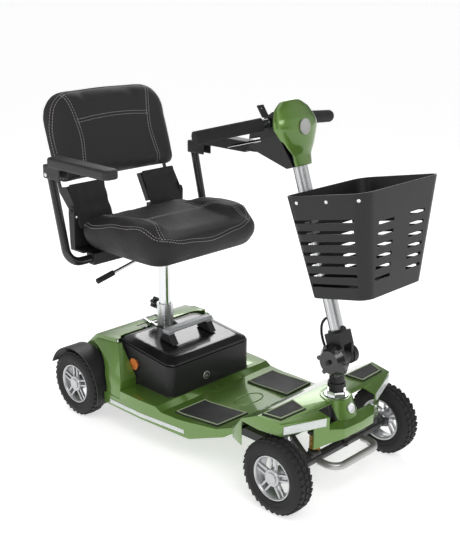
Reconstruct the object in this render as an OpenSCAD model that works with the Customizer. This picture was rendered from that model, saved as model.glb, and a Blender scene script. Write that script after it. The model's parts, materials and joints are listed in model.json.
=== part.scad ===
// Portable four-wheel mobility scooter: +X forward, +Y left, +Z up, ground at z = 0.

/* [Overall] */
// Distance between the front and the rear axles
wheelbase = 805; // [780:5:970]
// Distance between the middles of the rear tyres
rear_track = 472; // [456:2:570]
// Distance between the middles of the front tyres
front_track = 455; // [440:2:550]
// Height of the seat plate above the ground
seat_z = 515; // [500:5:620]

/* [Wheels] */
// Outside diameter of each tyre
wheel_d = 204; // [168:2:246]
// Width of each tyre
tyre_w = 55; // [45:1:66]
// Diameter at which the tyre seats on its rim
rim_d = 122; // [100:1:138]
// Diameter of the front stub axles
stub_d = 15; // [12:0.5:19]
// Diameter of the rear drive shafts
shaft_d = 17; // [14:0.5:21]

/* [Steering] */
// Diameter of the steering shaft
column_d = 24; // [20:1:30]
// Height of the tiller's tilt pivot above the ground
pivot_z = 362; // [350:2:430]
// Diameter of the tilt pivot pin
pivot_d = 12; // [10:1:15]
// Backward lean of the tiller
tiller_lean = 19.2; // [12:0.1:24]
// Diameter of the tiller tube
tiller_d = 38; // [30:1:46]
// Length of the steering arms
steer_arm = 36; // [30:1:44]

/* [Seat] */
// Diameter of the seat post
post_d = 38; // [31:1:46]
// Wall of the seat post socket
socket_wall = 6; // [4:0.5:8]
// Half width of the cushion
cushion_half = 228; // [190:2:240]
// Distance from the centre to the middle of each armrest pad
armrest_y = 287; // [280:2:350]
// Diameter of the armrest tubes
arm_tube_d = 25; // [20:1:30]
// Backward lean of the backrest
back_lean = 16.8; // [8:0.2:24]

/* [Battery] */
// Length of the battery box
battery_l = 240; // [210:2:260]
// Half width of the battery box
battery_half = 166; // [138:2:170]
// Height of the battery box at its front
battery_h = 112; // [94:2:134]

/* [Basket] */
// Half width of the basket at its rim
basket_half = 156; // [130:2:188]
// Height of the basket
basket_h = 256; // [212:2:308]

/* [Fits] */
// Radial gap of each turning or sliding fit
run_gap = 0.05; // [0.02:0.01:0.1]
// Gap between neighbouring pieces that don't touch
gap = 0.5; // [0.3:0.1:1]
// Wall of the moulded covers
shell = 3; // [2.5:0.5:4]

/* [Hidden] */
$fn = 48;

// Places that several pieces share
axle_z = wheel_d / 2;
wheel_r = wheel_d / 2;
axle_mid = -2.5;                        // middle of the wheelbase along X
rear_x = axle_mid - wheelbase / 2;
front_x = axle_mid + wheelbase / 2;
rail_y = 95;                            // middle of each frame rail
rail_w = 24;
rail_z = axle_z - 8;
rail_front = front_x - 130;
rail_rear = rear_x + 75;
seat_x = rear_x + 132;                  // seat post axis
socket_d = post_d + 2 * run_gap + 2 * socket_wall;
socket_base = rail_z + rail_w / 2;
socket_top = axle_z + 234;
knob_z = socket_top - 12;
green = "yellowgreen";

// Front suspension and steering
arm_y = 116;                            // middle of each trailing arm
arm_w = 20;
arm_pivot_x = front_x - 112;
arm_pivot_z = axle_z + 46;
arm_pin_d = 14;
beam_d = 26;
spring_y = 92;
spring_low = axle_z + 24;
spring_top = spring_low + 46;
beam_x = front_x + 6;
kingpin_y = front_track / 2 - tyre_w / 2 - 16;
kingpin_d = 12;
fender_z = wheel_d + 10;                // lower edge of the front cover above the wheels
sweep_r = norm([wheel_r, front_track / 2 + tyre_w / 2 - kingpin_y]) + 6;
pitman_z = axle_z + 40;
tie_z = axle_z + 18;
head_tube_low = pitman_z + 12;
head_tube_top = axle_z + 142;
nut_top = head_tube_top + 22;

// Deck
deck_z = axle_z + 23;                   // top of the floor at its rear
deck_low = axle_z - 26;                 // lower edge of the covers
seam_x = front_x - 171;                 // joint of the deck and the front cover
seam_z = axle_z + 62;

// Battery box, which stands on the rails
battery_rear = rear_x + 100;
battery_front = battery_rear + battery_l;
battery_z = rail_z + rail_w / 2 + gap + 8;
battery_top = battery_z + battery_h;    // at the front
battery_rise = 26;                      // extra height at the rear
notch_half = socket_d / 2 + 6;
handle_half = 92;

// Tiller, in a frame with its origin at the pivot and z along the tube
pivot_x = front_x + 12;
tube_x = 5;                             // tube axis ahead of the pivot
ear_y = 16;                             // inner face of the bracket's ears
ear_w = 9;
tube_low = 46;
tube_top = 560;
head_low = 498;
// Height above the shroud's lower edge, half width and depth at each level
shroud_levels = [[0, 31, 16], [30, 36, 18], [52, 52, 27], [98, 78, 38], [114, 78, 38], [147, 62, 26],
                 [166, 34, 18]];
housing_half = 62;
bar_z = 621;
panel_tilt = 17;
panel_at = [-36, 0, 634];               // middle of the control panel
grip_d = 33;
bar_d = 22;
bar_x = -8;                             // straight middle of the handlebar
bar_half = 66;
bar_end = [-77, 249, bar_z];
cable_d = 7;
cable_route = [[-9, 0, 106], [-26, 0, 104], [-42, 0, 90], [-50, 0, 66], [-50, 0, 40], [-46, 0, 22]];

// Basket, in a frame at its lower rear edge
basket_tilt = 11.5;
basket_at = [pivot_x - 19, 0, pivot_z + 186];
basket_l = 175;
basket_low_half = basket_half - 40;
flare_rear = 14;
flare_front = 57;
basket_wall = 3.5;
tongue_w = 48;

// Seat, in a frame on the seat post axis
hub_d = post_d + 2 * run_gap + 20;
hub_low = seat_z - 48;
arm_x = -100;                           // armrest tube behind the post
arm_z = seat_z - 17;
arm_lean = 13.4;
arm_post = 262;
arm_bend = 44;
post_y = armrest_y - 8;                 // upright part of each armrest tube
pad_fwd = 14;                           // armrest pad ahead of its hinge
hinge_x = -161;
hinge_z = seat_z + 118;
hinge_y = cushion_half - 24;
pad_half = cushion_half + 7;
pad_back = -36;                         // rear face of the backrest pad
cushion_z = seat_z + 8;
cushion_top = seat_z + 97;

module both_sides() {
    children();
    mirror([0, 1, 0]) children();
}

module both_sides_2d() {
    children();
    mirror([1, 0]) children();
}

// Round bar from one point to another
module rod(from, to, d) {
    v = to - from;
    translate(from)
        rotate([0, acos(v[2] / norm(v)), atan2(v[1], v[0])])
            cylinder(d = d, h = norm(v));
}

// Square bar from one point to another, w across and h deep
module bar(from, to, w, h) {
    v = to - from;
    translate(from)
        rotate([0, acos(v[2] / norm(v)), atan2(v[1], v[0])])
            translate([-h / 2, -w / 2, 0]) cube([h, w, norm(v)]);
}

// Outline in the XZ plane given thickness from y0 to y1
module slab(points, y0, y1) {
    translate([0, y1, 0]) rotate([90, 0, 0]) linear_extrude(y1 - y0) polygon(points);
}

// Cylinder along Y between two y values
module pin_y(x, z, d, y0, y1) {
    translate([x, y1, z]) rotate([90, 0, 0]) cylinder(d = d, h = y1 - y0);
}

module rounded_plan(x0, x1, half, r) {
    translate([x0, -half + r]) square([x1 - x0, 2 * (half - r)]);
    translate([x0 + r, -half]) square([x1 - x0 - 2 * r, 2 * half]);
    for (x = [x0 + r, x1 - r], y = [-half + r, half - r]) translate([x, y]) circle(r);
}

module ring(d_out, d_in, h) {
    difference() {
        cylinder(d = d_out, h = h);
        translate([0, 0, -1]) cylinder(d = d_in, h = h + 2);
    }
}

// ---- Chassis ----

module main_frame() {
    color("dimgray") difference() {
        union() {
            for (side = [-1, 1]) translate([0, side * rail_y - rail_w / 2, rail_z - rail_w / 2])
                translate([rail_rear, 0, 0]) cube([rail_front - rail_rear, rail_w, rail_w]);
            for (x = [rail_rear, axle_mid - 90, rail_front - rail_w])
                translate([x, -rail_y, rail_z - rail_w / 2]) cube([rail_w, 2 * rail_y, rail_w]);
            // plate under the seat post socket
            translate([seat_x - 40, -rail_y, rail_z - rail_w / 2]) cube([80, 2 * rail_y, rail_w]);
            // upright plates that carry the drive unit
            both_sides() slab([[rear_x - 34, axle_z - 34], [rear_x + 34, axle_z - 34],
                               [rail_rear + 18, rail_z - rail_w / 2], [rail_rear + 18, rail_z + 30],
                               [rear_x + 30, axle_z + 70], [rear_x - 34, axle_z + 70]],
                              rail_y + rail_w / 2 - 6, rail_y + rail_w / 2);
            translate([rear_x - 34, -rail_y - rail_w / 2, axle_z + 64])
                cube([64, 2 * rail_y + rail_w, 6]);
            // ears for the suspension pin
            both_sides() slab([[rail_front - 40, rail_z], [rail_front, rail_z],
                               [arm_pivot_x + 14, arm_pivot_z],
                               [arm_pivot_x + 8, arm_pivot_z + 14],
                               [arm_pivot_x - 10, arm_pivot_z + 14]],
                              rail_y - rail_w / 2, rail_y - rail_w / 2 + 8);
            bar([rail_front - 12, 0, rail_z], [front_x - 6, 0, head_tube_low + 50], 34, 26);
            translate([front_x, 0, head_tube_low])
                cylinder(d = column_d + 16, h = head_tube_top - head_tube_low);
            // bar that the springs push against
            translate([front_x - 6, -spring_y - 14, spring_top + gap]) cube([28, 2 * spring_y + 28, 8]);
            // stub that holds the anti-tip wheels
            bar([rear_x - 30, 0, axle_z + 67], [rear_x - 96, 0, axle_z - 48], 26, 10);
            both_sides() slab([[rear_x - 104, axle_z - 40], [rear_x - 88, axle_z - 40],
                               [rear_x - 92, axle_z - 66], [rear_x - 110, axle_z - 66]], 8, 13);
            pin_y(rear_x - 101, axle_z - 58, 10, -38, 38);
        }
        translate([front_x, 0, head_tube_low - 1])
            cylinder(d = column_d + 2 * run_gap, h = head_tube_top - head_tube_low + 2);
        pin_y(arm_pivot_x, arm_pivot_z, arm_pin_d, -rail_y, rail_y);
        pin_y(rear_x, axle_z, 40, -rail_y - 20, rail_y + 20);
    }
}

module column_nut() {
    color("silver") translate([front_x, 0, head_tube_top + gap]) difference() {
        union() {
            cylinder(d = 62, h = 10);
            translate([0, 0, 10]) cylinder(d = 54, h = 12 - gap, $fn = 6);
        }
        translate([0, 0, -1]) cylinder(d = column_d + 2 * run_gap, h = 24);
    }
}

// Side outline of the deck: floor line, then down to the lower edge
function deck_side(drop) = [
    [battery_rear + 20 + drop, deck_low - 1 - drop], [battery_rear + 20 + drop, axle_z + 34 - drop],
    [battery_front + 6, axle_z + 34 - drop], [battery_front + 26, deck_z - drop],
    [battery_front + 90, deck_z - drop], [front_x - 240, deck_z + 12 - drop],
    [seam_x, seam_z - drop], [seam_x, axle_z + 36 - drop], [rear_x + 470, deck_low - 1 - drop]];

// Half plan of the deck, wide at the rear and drawn in towards the front
function deck_half(inset) = [
    [battery_rear + 20, 0], [battery_rear + 20, 240 - inset], [rear_x + 284, 238 - inset],
    [rear_x + 456, 225 - inset], [front_x - 215, 205 - inset], [seam_x, 214 - inset], [seam_x, 0]];

module deck_body(inset) {
    intersection() {
        slab(deck_side(inset), -260, 260);
        translate([0, 0, deck_low + (inset > 0 ? -2 : 0)]) linear_extrude(200)
            both_sides() polygon(deck_half(inset));
    }
}

module battery_pocket(extra) {
    translate([0, 0, battery_z - extra]) linear_extrude(300)
        rounded_plan(battery_rear - extra, battery_front + extra, battery_half + extra, 30);
}

module deck_cover() {
    color(green) difference() {
        deck_body(0);
        deck_body(shell);
        battery_pocket(1.5);
        translate([battery_rear, -battery_half, 0]) cube([30, 2 * battery_half, 300]);
        // room for the wings of the rear cover
        both_sides() translate([battery_rear - 10, battery_half - 5, axle_z + 8])
            cube([102 + gap, 100, 100]);
    }
}

function cover_side(d) = [
    [rear_x - 100 + d, axle_z - 10], [rear_x - 100 + d, axle_z + 40 - d],
    [rear_x + 22, axle_z + 150 - d], [battery_rear + 18, axle_z + 160 - d],
    [battery_rear + 18, axle_z - 10]];

function wing_side(d) = [
    [rear_x + 10, axle_z + 60], [rear_x + 30, axle_z + 140 - d], [battery_rear + 30 - d, axle_z + 150 - d],
    [battery_rear + 92 - d, axle_z + 60], [battery_rear + 92 - d, axle_z + 8 + gap],
    [rear_x + 60, axle_z + 8 + gap]];

module rear_cover() {
    inner = rear_track / 2 - tyre_w / 2 - 24;
    color(green) difference() {
        union() {
            slab(cover_side(0), -inner, inner);
            intersection() {
                both_sides() slab(wing_side(0), inner - 10, 238);
                // wings lean inwards towards the top
                translate([0, 0, axle_z]) rotate([90, 0, 90]) linear_extrude(1500, center = true)
                    polygon([[-240, 0], [240, 0], [232, 60], [182, 160], [-182, 160], [-232, 60]]);
            }
        }
        slab(cover_side(shell), -inner + shell, inner - shell);
        both_sides() slab(wing_side(shell), battery_half - 40, inner + 3);
        battery_pocket(1.5);
        translate([battery_rear - 2, -battery_half - 1.5, axle_z - 20]) cube([60, 2 * battery_half + 3, 150]);
        translate([seat_x, 0, 0]) cylinder(d = socket_d + 30, h = 400);
        translate([seat_x - 70, -60, axle_z + 120]) cube([70, 120, 60]);
        both_sides() pin_y(rear_x, axle_z, 2 * wheel_r + 62, inner + gap, 300);
        translate([rear_x - 120, -16, axle_z - 20]) cube([60, 32, 60]);
        // holes for the axle tube and for the brackets of the mudguards
        pin_y(rear_x, axle_z, 48, -300, 300);
        translate([rear_x - 22, -300, axle_z + 58]) cube([44, 600, 9]);
    }
}

// Half plan of the front cover
function front_half(i) = [
    [seam_x + gap, 0], [seam_x + gap, 216 - i], [front_x - 122, 234 - i], [front_x - 56, 240 - i],
    [front_x + 8 - i / 2, 228 - i], [front_x + 57 - i, 97 - i / 2], [front_x + 80 - i, 62 - i / 2],
    [front_x + 84 - i, 0]];

// Side outline of the raised fenders
function fender_side(i) = [
    [seam_x + gap, seam_z - 30], [seam_x + gap, seam_z - i], [front_x - 120, axle_z + 120 - i],
    [front_x - 60, axle_z + 150 - i], [front_x, axle_z + 146 - i], [front_x + 100, axle_z + 128 - i],
    [front_x + 100, axle_z + 44], [front_x - 70, axle_z + 44]];

module front_body(i) {
    intersection() {
        linear_extrude(400) both_sides() polygon(front_half(i));
        difference() {
            slab(fender_side(i), -260, 260);
            // the nose is lower than the fenders
            slab([[front_x + 34 + i, axle_z + 300], [front_x + 16 + i, axle_z + 140 - i],
                  [front_x + 40 + i, axle_z + 104 - i], [front_x + 130, axle_z + 92 - i],
                  [front_x + 130, axle_z + 300]], -96, 96);
        }
    }
}

module front_cover() {
    color(green) difference() {
        union() {
            front_body(0);
            // pedestal round the steering column
            translate([front_x, 0, axle_z + 100]) cylinder(d1 = 118, d2 = 84, h = 50);
        }
        front_body(shell);
        translate([front_x, 0, 0]) cylinder(d = 70, h = axle_z + 137);
        translate([front_x, 0, 0]) cylinder(d = 64 + 2 * gap, h = 500);
        // wheel wells
        both_sides() intersection() {
            translate([front_x, kingpin_y, 0]) cylinder(r = sweep_r, h = fender_z);
            translate([front_x - 300, 138, 0]) cube([600, 300, 400]);
        }
        // lower edge, which rises to the nose
        slab([[front_x - 180, 0], [front_x - 180, axle_z + 40], [front_x + 24, axle_z + 46],
              [front_x + 90, axle_z + 76], [front_x + 90, 0]], -300, 300);
    }
}

module front_bumper() {
    tube = 20;
    reach = 76;
    half = 92;
    bend = 34;
    color("silver") {
        // loop ahead of the axle, welded to the beam by the suspension
        translate([beam_x, 0, axle_z - 4]) {
            both_sides() rod([19.5, half, 0], [reach - bend, half, 0], tube);
            rod([reach, -half + bend, 0], [reach, half - bend, 0], tube);
            both_sides() translate([reach - bend, half - bend, 0])
                rotate_extrude(angle = 90) translate([bend, 0]) circle(d = tube);
        }
    }
}

module floor_mats() {
    color("dimgray") {
        // footwell mats, which follow the floor
        both_sides() intersection() {
            slab([[battery_front + 50, deck_z + gap / 5], [battery_front + 90, deck_z + gap / 5],
                  [front_x - 240, deck_z + 12 + gap / 5], [front_x - 240, deck_z + 16],
                  [battery_front + 90, deck_z + 4], [battery_front + 50, deck_z + 4]], 0, 300);
            linear_extrude(400) polygon([[battery_front + 60, 89], [battery_front + 58, 204],
                [front_x - 246, 196], [front_x - 240, 82]]);
        }
        // mats on the fenders
        both_sides() intersection() {
            slab([[front_x - 60, axle_z + 150 + gap / 5], [front_x, axle_z + 146 + gap / 5],
                  [front_x, axle_z + 149], [front_x - 60, axle_z + 153.5]], 0, 300);
            linear_extrude(400) polygon([[front_x - 56, 110], [front_x - 56, 228],
                [front_x - 6, 212], [front_x - 2, 120]]);
        }
    }
}

module reflective_strips() {
    color("white") both_sides() {
        bar([rear_x + 150, 240.4, axle_z - 12], [rear_x + 284, 238.6, axle_z - 12], 1, 12);
        bar([rear_x + 284, 238.6, axle_z - 12], [rear_x + 456, 225.6, axle_z - 8], 1, 12);
        bar([front_x + 12, 222, axle_z + 127], [front_x + 54.7, 106.5, axle_z + 125], 1.6, 22);
    }
}

module seat_socket() {
    ear_x = seat_x - socket_d / 2;
    color("lightgray") difference() {
        union() {
            translate([seat_x, 0, socket_base + gap / 5])
                cylinder(d = socket_d, h = socket_top - socket_base);
            translate([seat_x, 0, socket_base + gap / 5]) cylinder(d = socket_d + 8, h = 6);
            // threaded boss for the clamp knob
            rod([seat_x, 0, knob_z], [seat_x - socket_d / 2 - 9, 0, knob_z], 18);
            // ears of the release lever
            for (y = [-26, 12]) slab([[seat_x - 10, knob_z - 62], [ear_x - 16, knob_z - 54],
                [ear_x - 24, knob_z - 60], [ear_x - 16, knob_z - 72], [seat_x - 10, knob_z - 86]],
                y, y + 5);
            translate([ear_x - 6, -26, knob_z - 80]) cube([16, 43, 16]);
        }
        translate([seat_x, 0, socket_base + 30])
            cylinder(d = post_d + 2 * run_gap, h = socket_top);
        rod([seat_x, 0, knob_z], [seat_x - socket_d, 0, knob_z], 8 + 2 * run_gap);
        pin_y(ear_x - 16, knob_z - 62, 8 + 2 * run_gap, -40, 30);
        // row of height holes in the front right of the tube
        for (z = [40 : 16 : 88]) translate([seat_x, 0, socket_top - z]) rotate([0, 90, -50])
            cylinder(d = 7, h = socket_d);
    }
}

module post_clamp_knob() {
    x = seat_x - socket_d / 2 - 9 - gap;
    color("black") {
        rod([x, 0, knob_z], [seat_x - post_d / 2 - gap, 0, knob_z], 8);
        translate([x, 0, knob_z]) rotate([0, -90, 0]) {
            cylinder(d = 26, h = 18);
            for (a = [0 : 60 : 300]) rotate(a) translate([14, 0, 3]) cylinder(d = 10, h = 13);
        }
    }
}

module release_lever() {
    x = seat_x - socket_d / 2 - 16;
    z = knob_z - 62;
    color("silver") {
        pin_y(x, z, 8, -32, 23);
        for (y = [-32, 19]) slab([[x + 6, z - 6], [x + 6, z + 6], [x - 30, z + 16],
            [x - 34, z + 6], [x - 6, z - 6]], y, y + 4);
        pin_y(x - 29, z + 10, 7, -32, 23);
    }
}

module controller() {
    color("darkgray") translate([rear_x - 16, -70, axle_z + 70 + gap]) {
        cube([56, 140, 27]);
        for (y = [6 : 16 : 130]) translate([4, y, 27]) cube([48, 4, 6]);
    }
}

module transaxle() {
    half = rear_track / 2 - tyre_w / 2 - 14;
    motor_x = rear_x - 62;
    motor_z = axle_z + 2;
    color("gray") difference() {
        union() {
            pin_y(rear_x, axle_z, 40, -half, half);
            pin_y(rear_x, axle_z, 96, 18, 70);
            pin_y(motor_x, motor_z, 66, -80, 62);
            slab([[motor_x, motor_z - 30], [rear_x, axle_z - 40], [rear_x, axle_z + 40],
                  [motor_x, motor_z + 30]], 24, 60);
            pin_y(motor_x, motor_z, 30, -92, -80);
        }
        pin_y(rear_x, axle_z, shaft_d + 2 * run_gap, 24, 300);
        pin_y(rear_x, axle_z, shaft_d + 2 * run_gap, -300, 22);
        pin_y(motor_x, motor_z, 6 + 2 * run_gap, -100, -86);
        // slots that the stub of the anti-tip wheels passes
        translate([rear_x - 98, -14, axle_z - 60]) cube([60, 28, 130]);
    }
}

module freewheel_lever() {
    x = rear_x - 62;
    z = axle_z + 2;
    color("black") {
        pin_y(x, z, 6, -100, -87);
        slab([[x - 8, z - 8], [x + 8, z - 8], [x + 5, z + 34], [x - 5, z + 34]], -98, -93);
        pin_y(x, z + 34, 14, -106, -92);
    }
}

module anti_tip_wheels() {
    x = rear_x - 101;
    z = axle_z - 58;
    color("dimgray") both_sides() difference() {
        pin_y(x, z, 50, 14, 34);
        pin_y(x, z, 10 + 2 * run_gap, 10, 40);
    }
}

module rear_mudguards() {
    y0 = rear_track / 2 - tyre_w / 2 - 10;
    y1 = rear_track / 2 + tyre_w / 2 - 2;
    r = wheel_r + 12;
    color("black") both_sides() difference() {
        union() {
            translate([rear_x, y1, axle_z]) rotate([90, 0, 0]) ring(2 * r + 6, 2 * r, y1 - y0);
            pin_y(rear_x, axle_z, 2 * r + 6, y0, y0 + 3);
            translate([rear_x - 20, rail_y + rail_w / 2, axle_z + 60])
                cube([40, y0 - rail_y - rail_w / 2 + 1, 5]);
        }
        // the guard covers the back, the top and the front above the axle
        pin_y(rear_x, axle_z, 52, 0, 400);
        slab([[rear_x - 160, axle_z + 60], [rear_x - 60, axle_z + 30], [rear_x, axle_z + 30],
              [rear_x + 90, axle_z - 30], [rear_x + 160, axle_z - 60], [rear_x + 160, axle_z - 200],
              [rear_x - 160, axle_z - 200]], 0, 400);
    }
}

// ---- Battery box ----

module battery_solid(inset, top) {
    intersection() {
        translate([0, 0, battery_z + inset]) linear_extrude(400)
            rounded_plan(battery_rear + inset, battery_front - inset, battery_half - inset, 30 - inset);
        slab([[battery_rear, 0], [battery_rear, battery_top + battery_rise + top],
              [battery_front, battery_top + top], [battery_front, 0]], -400, 400);
    }
}

module socket_notch() {
    translate([seat_x, 0, 0]) cylinder(r = notch_half, h = 500);
    translate([seat_x - 80, -notch_half, 0]) cube([80, 2 * notch_half, 500]);
}

module battery_case() {
    color("black") difference() {
        battery_solid(0, 0);
        difference() {
            battery_solid(shell, 10);
            translate([seat_x, 0, 0]) cylinder(r = notch_half + shell, h = 500);
            translate([seat_x - 80, -notch_half - shell, 0]) cube([80, 2 * (notch_half + shell), 500]);
        }
        socket_notch();
        translate([battery_front - 20, -26, battery_z + 52]) rotate([0, 90, 0]) cylinder(d = 20, h = 40);
    }
    // charging socket in the front
    color("silver") translate([battery_front - 8, -26, battery_z + 52]) rotate([0, 90, 0])
        ring(20, 12, 11);
}

module battery_lid() {
    slope = atan(battery_rise / battery_l);
    length = norm([battery_l, battery_rise]);
    color("black") difference() {
        translate([battery_rear, 0, battery_top + battery_rise + gap]) rotate([0, slope, 0]) hull() {
            linear_extrude(4, $fn = 32) rounded_plan(0, length, battery_half, 30);
            linear_extrude(16, $fn = 32) rounded_plan(26, length - 26, battery_half - 30, 26);
        }
        socket_notch();
    }
}

module battery_handle() {
    x = battery_rear + 134;
    z = battery_top + battery_rise * (battery_front - x) / battery_l + 14;
    rise = 41;
    thick = 14;
    color("silver") translate([x, 0, z + rise]) rotate([90, 0, 0])
        linear_extrude(2 * handle_half, center = true) {
            square([16, thick], center = true);
            for (s = [-1, 1]) translate([8 * s, 0]) circle(d = thick);
        }
    color("black") both_sides() slab([[x - 34, z + 8], [x + 34, z + 2], [x + 12, z + rise - thick / 2],
                                      [x - 12, z + rise - thick / 2]], handle_half - 26, handle_half - 4);
}

module side_reflectors() {
    color("orange") both_sides() translate([battery_rear + 80, battery_half + gap / 5, battery_z + 82])
        rotate([-90, 0, 0]) cylinder(d = 36, h = 5);
}

module battery_cells() {
    color("darkslategray") both_sides() difference() {
        translate([battery_rear + 70, 8, battery_z + shell + gap])
            cube([battery_l - 84, battery_half - 22, battery_h - 24]);
        socket_notch();
    }
}

// ---- Steering column and tiller ----

module tiller_frame() {
    translate([pivot_x, 0, pivot_z]) rotate([0, -tiller_lean, 0]) children();
}

module steering_column() {
    color("silver") {
        translate([front_x, 0, pitman_z]) cylinder(d = column_d, h = pivot_z - 46 - pitman_z);
        difference() {
            union() {
                translate([front_x, 0, pitman_z]) cylinder(d = column_d + 8, h = 8);
                translate([front_x, -11, pitman_z]) cube([steer_arm, 22, 8]);
                translate([front_x + steer_arm, 0, pitman_z]) cylinder(d = 26, h = 8);
            }
            translate([front_x + steer_arm, 0, pitman_z - 1]) cylinder(d = 18, h = 10);
        }
    }
}

module column_neck() {
    sleeve_low = nut_top + 1;
    color("black") difference() {
        union() {
            translate([front_x, 0, sleeve_low]) cylinder(d = column_d + 16, h = pivot_z - 36 - sleeve_low);
            translate([front_x, 0, sleeve_low + 10]) cylinder(d = column_d + 24, h = 12);
            slab([[front_x - 18, pivot_z - 50], [front_x + 18, pivot_z - 50], [pivot_x + 20, pivot_z],
                  [pivot_x - 20, pivot_z]], -ear_y + gap, ear_y - gap);
            pin_y(pivot_x, pivot_z, 42, -ear_y + gap, ear_y - gap);
            pin_y(pivot_x, pivot_z, pivot_d, -60, 40);
            // boss on the left end of the pivot pin
            pin_y(pivot_x, pivot_z, 50, ear_y + ear_w + gap, ear_y + ear_w + 16);
        }
        translate([front_x, 0, 0]) cylinder(d = column_d, h = pivot_z - 46);
    }
}

module tiller_bracket() {
    color("black") tiller_frame() difference() {
        union() {
            both_sides() slab([[-20, 0], [20, 0], [tube_x + 24, tube_low - 18], [tube_x + 24, tube_low + 22],
                [tube_x - 24, tube_low + 22], [tube_x - 24, tube_low - 18]], ear_y, ear_y + ear_w);
            both_sides() pin_y(0, 0, 44, ear_y, ear_y + ear_w);
            translate([tube_x - 24, -ear_y, tube_low - 12]) cube([48, 2 * ear_y, 34]);
            translate([tube_x, 0, tube_low - 6]) cylinder(d = tiller_d + 10, h = 34);
        }
        pin_y(0, 0, pivot_d + 2 * run_gap, -40, 40);
        translate([tube_x, 0, tube_low]) cylinder(d = tiller_d, h = 60);
    }
}

module tube_plan(d) {
    difference() {
        circle(d = d);
        circle(d = d - 6);
        // grooves down the sides
        for (a = [-90, -70, 70, 90]) rotate(a) translate([d / 2, 0]) circle(d = 2);
    }
}

module tiller_tube() {
    color("silver") tiller_frame() translate([tube_x, 0, tube_low]) difference() {
        linear_extrude(tube_top - tube_low) tube_plan(tiller_d);
        // cable exit in the rear face
        translate([-tiller_d, 0, 60]) rotate([0, 90, 0]) cylinder(d = 10, h = tiller_d);
    }
}

// Bow-fronted outline of the shroud
module bow_plan(half, depth, d) {
    square_back = [[12 + d, half - d], [12 + d, -half + d]];
    polygon(concat([for (a = [-90 : 15 : 90]) [18 + (depth - 6 - d) * cos(a), (half - d) * sin(a)]],
                   square_back));
}

module shroud_solid(d) {
    for (part = [[0, 1], [1, 2], [2, 6]]) hull()
        for (i = [part[0] : part[1]])
            translate([0, 0, head_low + shroud_levels[i][0] - (i == 6 ? d : 0) + (i == 0 ? -d : 0)])
                linear_extrude(2) bow_plan(shroud_levels[i][1], shroud_levels[i][2], d);
}

module head_shroud() {
    color(green) tiller_frame() difference() {
        shroud_solid(0);
        shroud_solid(shell);
        translate([10, -60, head_low + 20]) cube([4 + shell, 120, 120]);
        translate([tube_x, 0, 400]) cylinder(d = tiller_d + 2 * gap, h = 190);
    }
}

function housing_side(d) = [
    [12 - gap, head_low + 3 + d], [-10 + d, head_low + 3 + d], [-98 + d, 578 + d / 2],
    [-78 + d, 619 - d], [8, 644 - d], [12 - gap, 644 - d]];

// The housing narrows towards its lower end
module housing_solid(d) {
    intersection() {
        slab(housing_side(d), -housing_half, housing_half);
        rotate([90, 0, 90]) linear_extrude(400, center = true)
            both_sides_2d() polygon([[0, 400], [housing_half - 28 - d, head_low],
                                     [housing_half - d, head_low + 88], [housing_half - d, 700], [0, 700]]);
    }
}

module panel_frame() {
    translate(panel_at) rotate([0, -panel_tilt, 0]) children();
}

module head_housing() {
    color("black") tiller_frame() difference() {
        housing_solid(0);
        housing_solid(shell);
        translate([tube_x, 0, 400]) cylinder(d = tiller_d + 2 * gap, h = 190);
        pin_y(bar_x, bar_z, bar_d + 5, -housing_half - 1, housing_half + 1);
        // bores of the controls
        panel_frame() {
            translate([0, -38, -20]) cylinder(d = 8 + 2 * run_gap, h = 40);
            translate([0, 0, -20]) cylinder(d = 8 + 2 * run_gap, h = 40);
            translate([0, 38, -20]) cylinder(d = 12 + 2 * run_gap, h = 40);
        }
        translate([-74, 0, 560]) cylinder(d = 8 + 2 * run_gap, h = 30);
        translate([-110, -70, 583]) cube([60, 140, 14]);
    }
}

module handlebar() {
    color("black") tiller_frame() {
        pin_y(bar_x, bar_z, bar_d, -bar_half, bar_half);
        both_sides() {
            rod([bar_x, bar_half, bar_z], bar_end, bar_d);
            translate([bar_x, bar_half, bar_z]) sphere(d = bar_d + 1);
        }
        // clamp that holds the bar to the tube
        translate([tube_x - 15, -15, tube_top]) cube([24, 30, bar_z - tube_top]);
    }
}

module grips() {
    start = [bar_x, bar_half, bar_z];
    color("black") tiller_frame() both_sides() difference() {
        rod(start + 0.1 * (bar_end - start), start + 1.03 * (bar_end - start), grip_d);
        rod(start, bar_end, bar_d);
    }
}

// Points of a smooth curve through a route, so many to each stretch
function curve(p, n) = [
    for (i = [0 : len(p) - 2], k = [0 : n - 1])
        let (a = p[max(i - 1, 0)], b = p[i], c = p[i + 1], d = p[min(i + 2, len(p) - 1)], t = k / n)
        b + t * (c - a) / 2 + t * t * (a - 2.5 * b + 2 * c - d / 2)
          + t * t * t * (1.5 * (b - c) + (d - a) / 2),
    p[len(p) - 1]];

// Tube along a curve that lies in the XZ plane
module tube(path, d, sides) {
    last = len(path) - 1;
    ring = [for (k = [0 : sides - 1]) k];
    points = [for (i = [0 : last])
        let (v = path[min(i + 1, last)] - path[max(i - 1, 0)], u = v / norm(v))
        for (k = ring) path[i] + d / 2 * [sin(360 * k / sides) * u[2], cos(360 * k / sides),
                                          -sin(360 * k / sides) * u[0]]];
    walls = [for (i = [0 : last - 1], k = ring) let (m = (k + 1) % sides)
        [i * sides + k, i * sides + m, (i + 1) * sides + m, (i + 1) * sides + k]];
    polyhedron(points, concat([[for (k = ring) sides - 1 - k]], [[for (k = ring) last * sides + k]], walls));
}

module tiller_cable() {
    color("black") tiller_frame() tube(curve(cable_route, 4), cable_d, 10);
}

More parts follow.
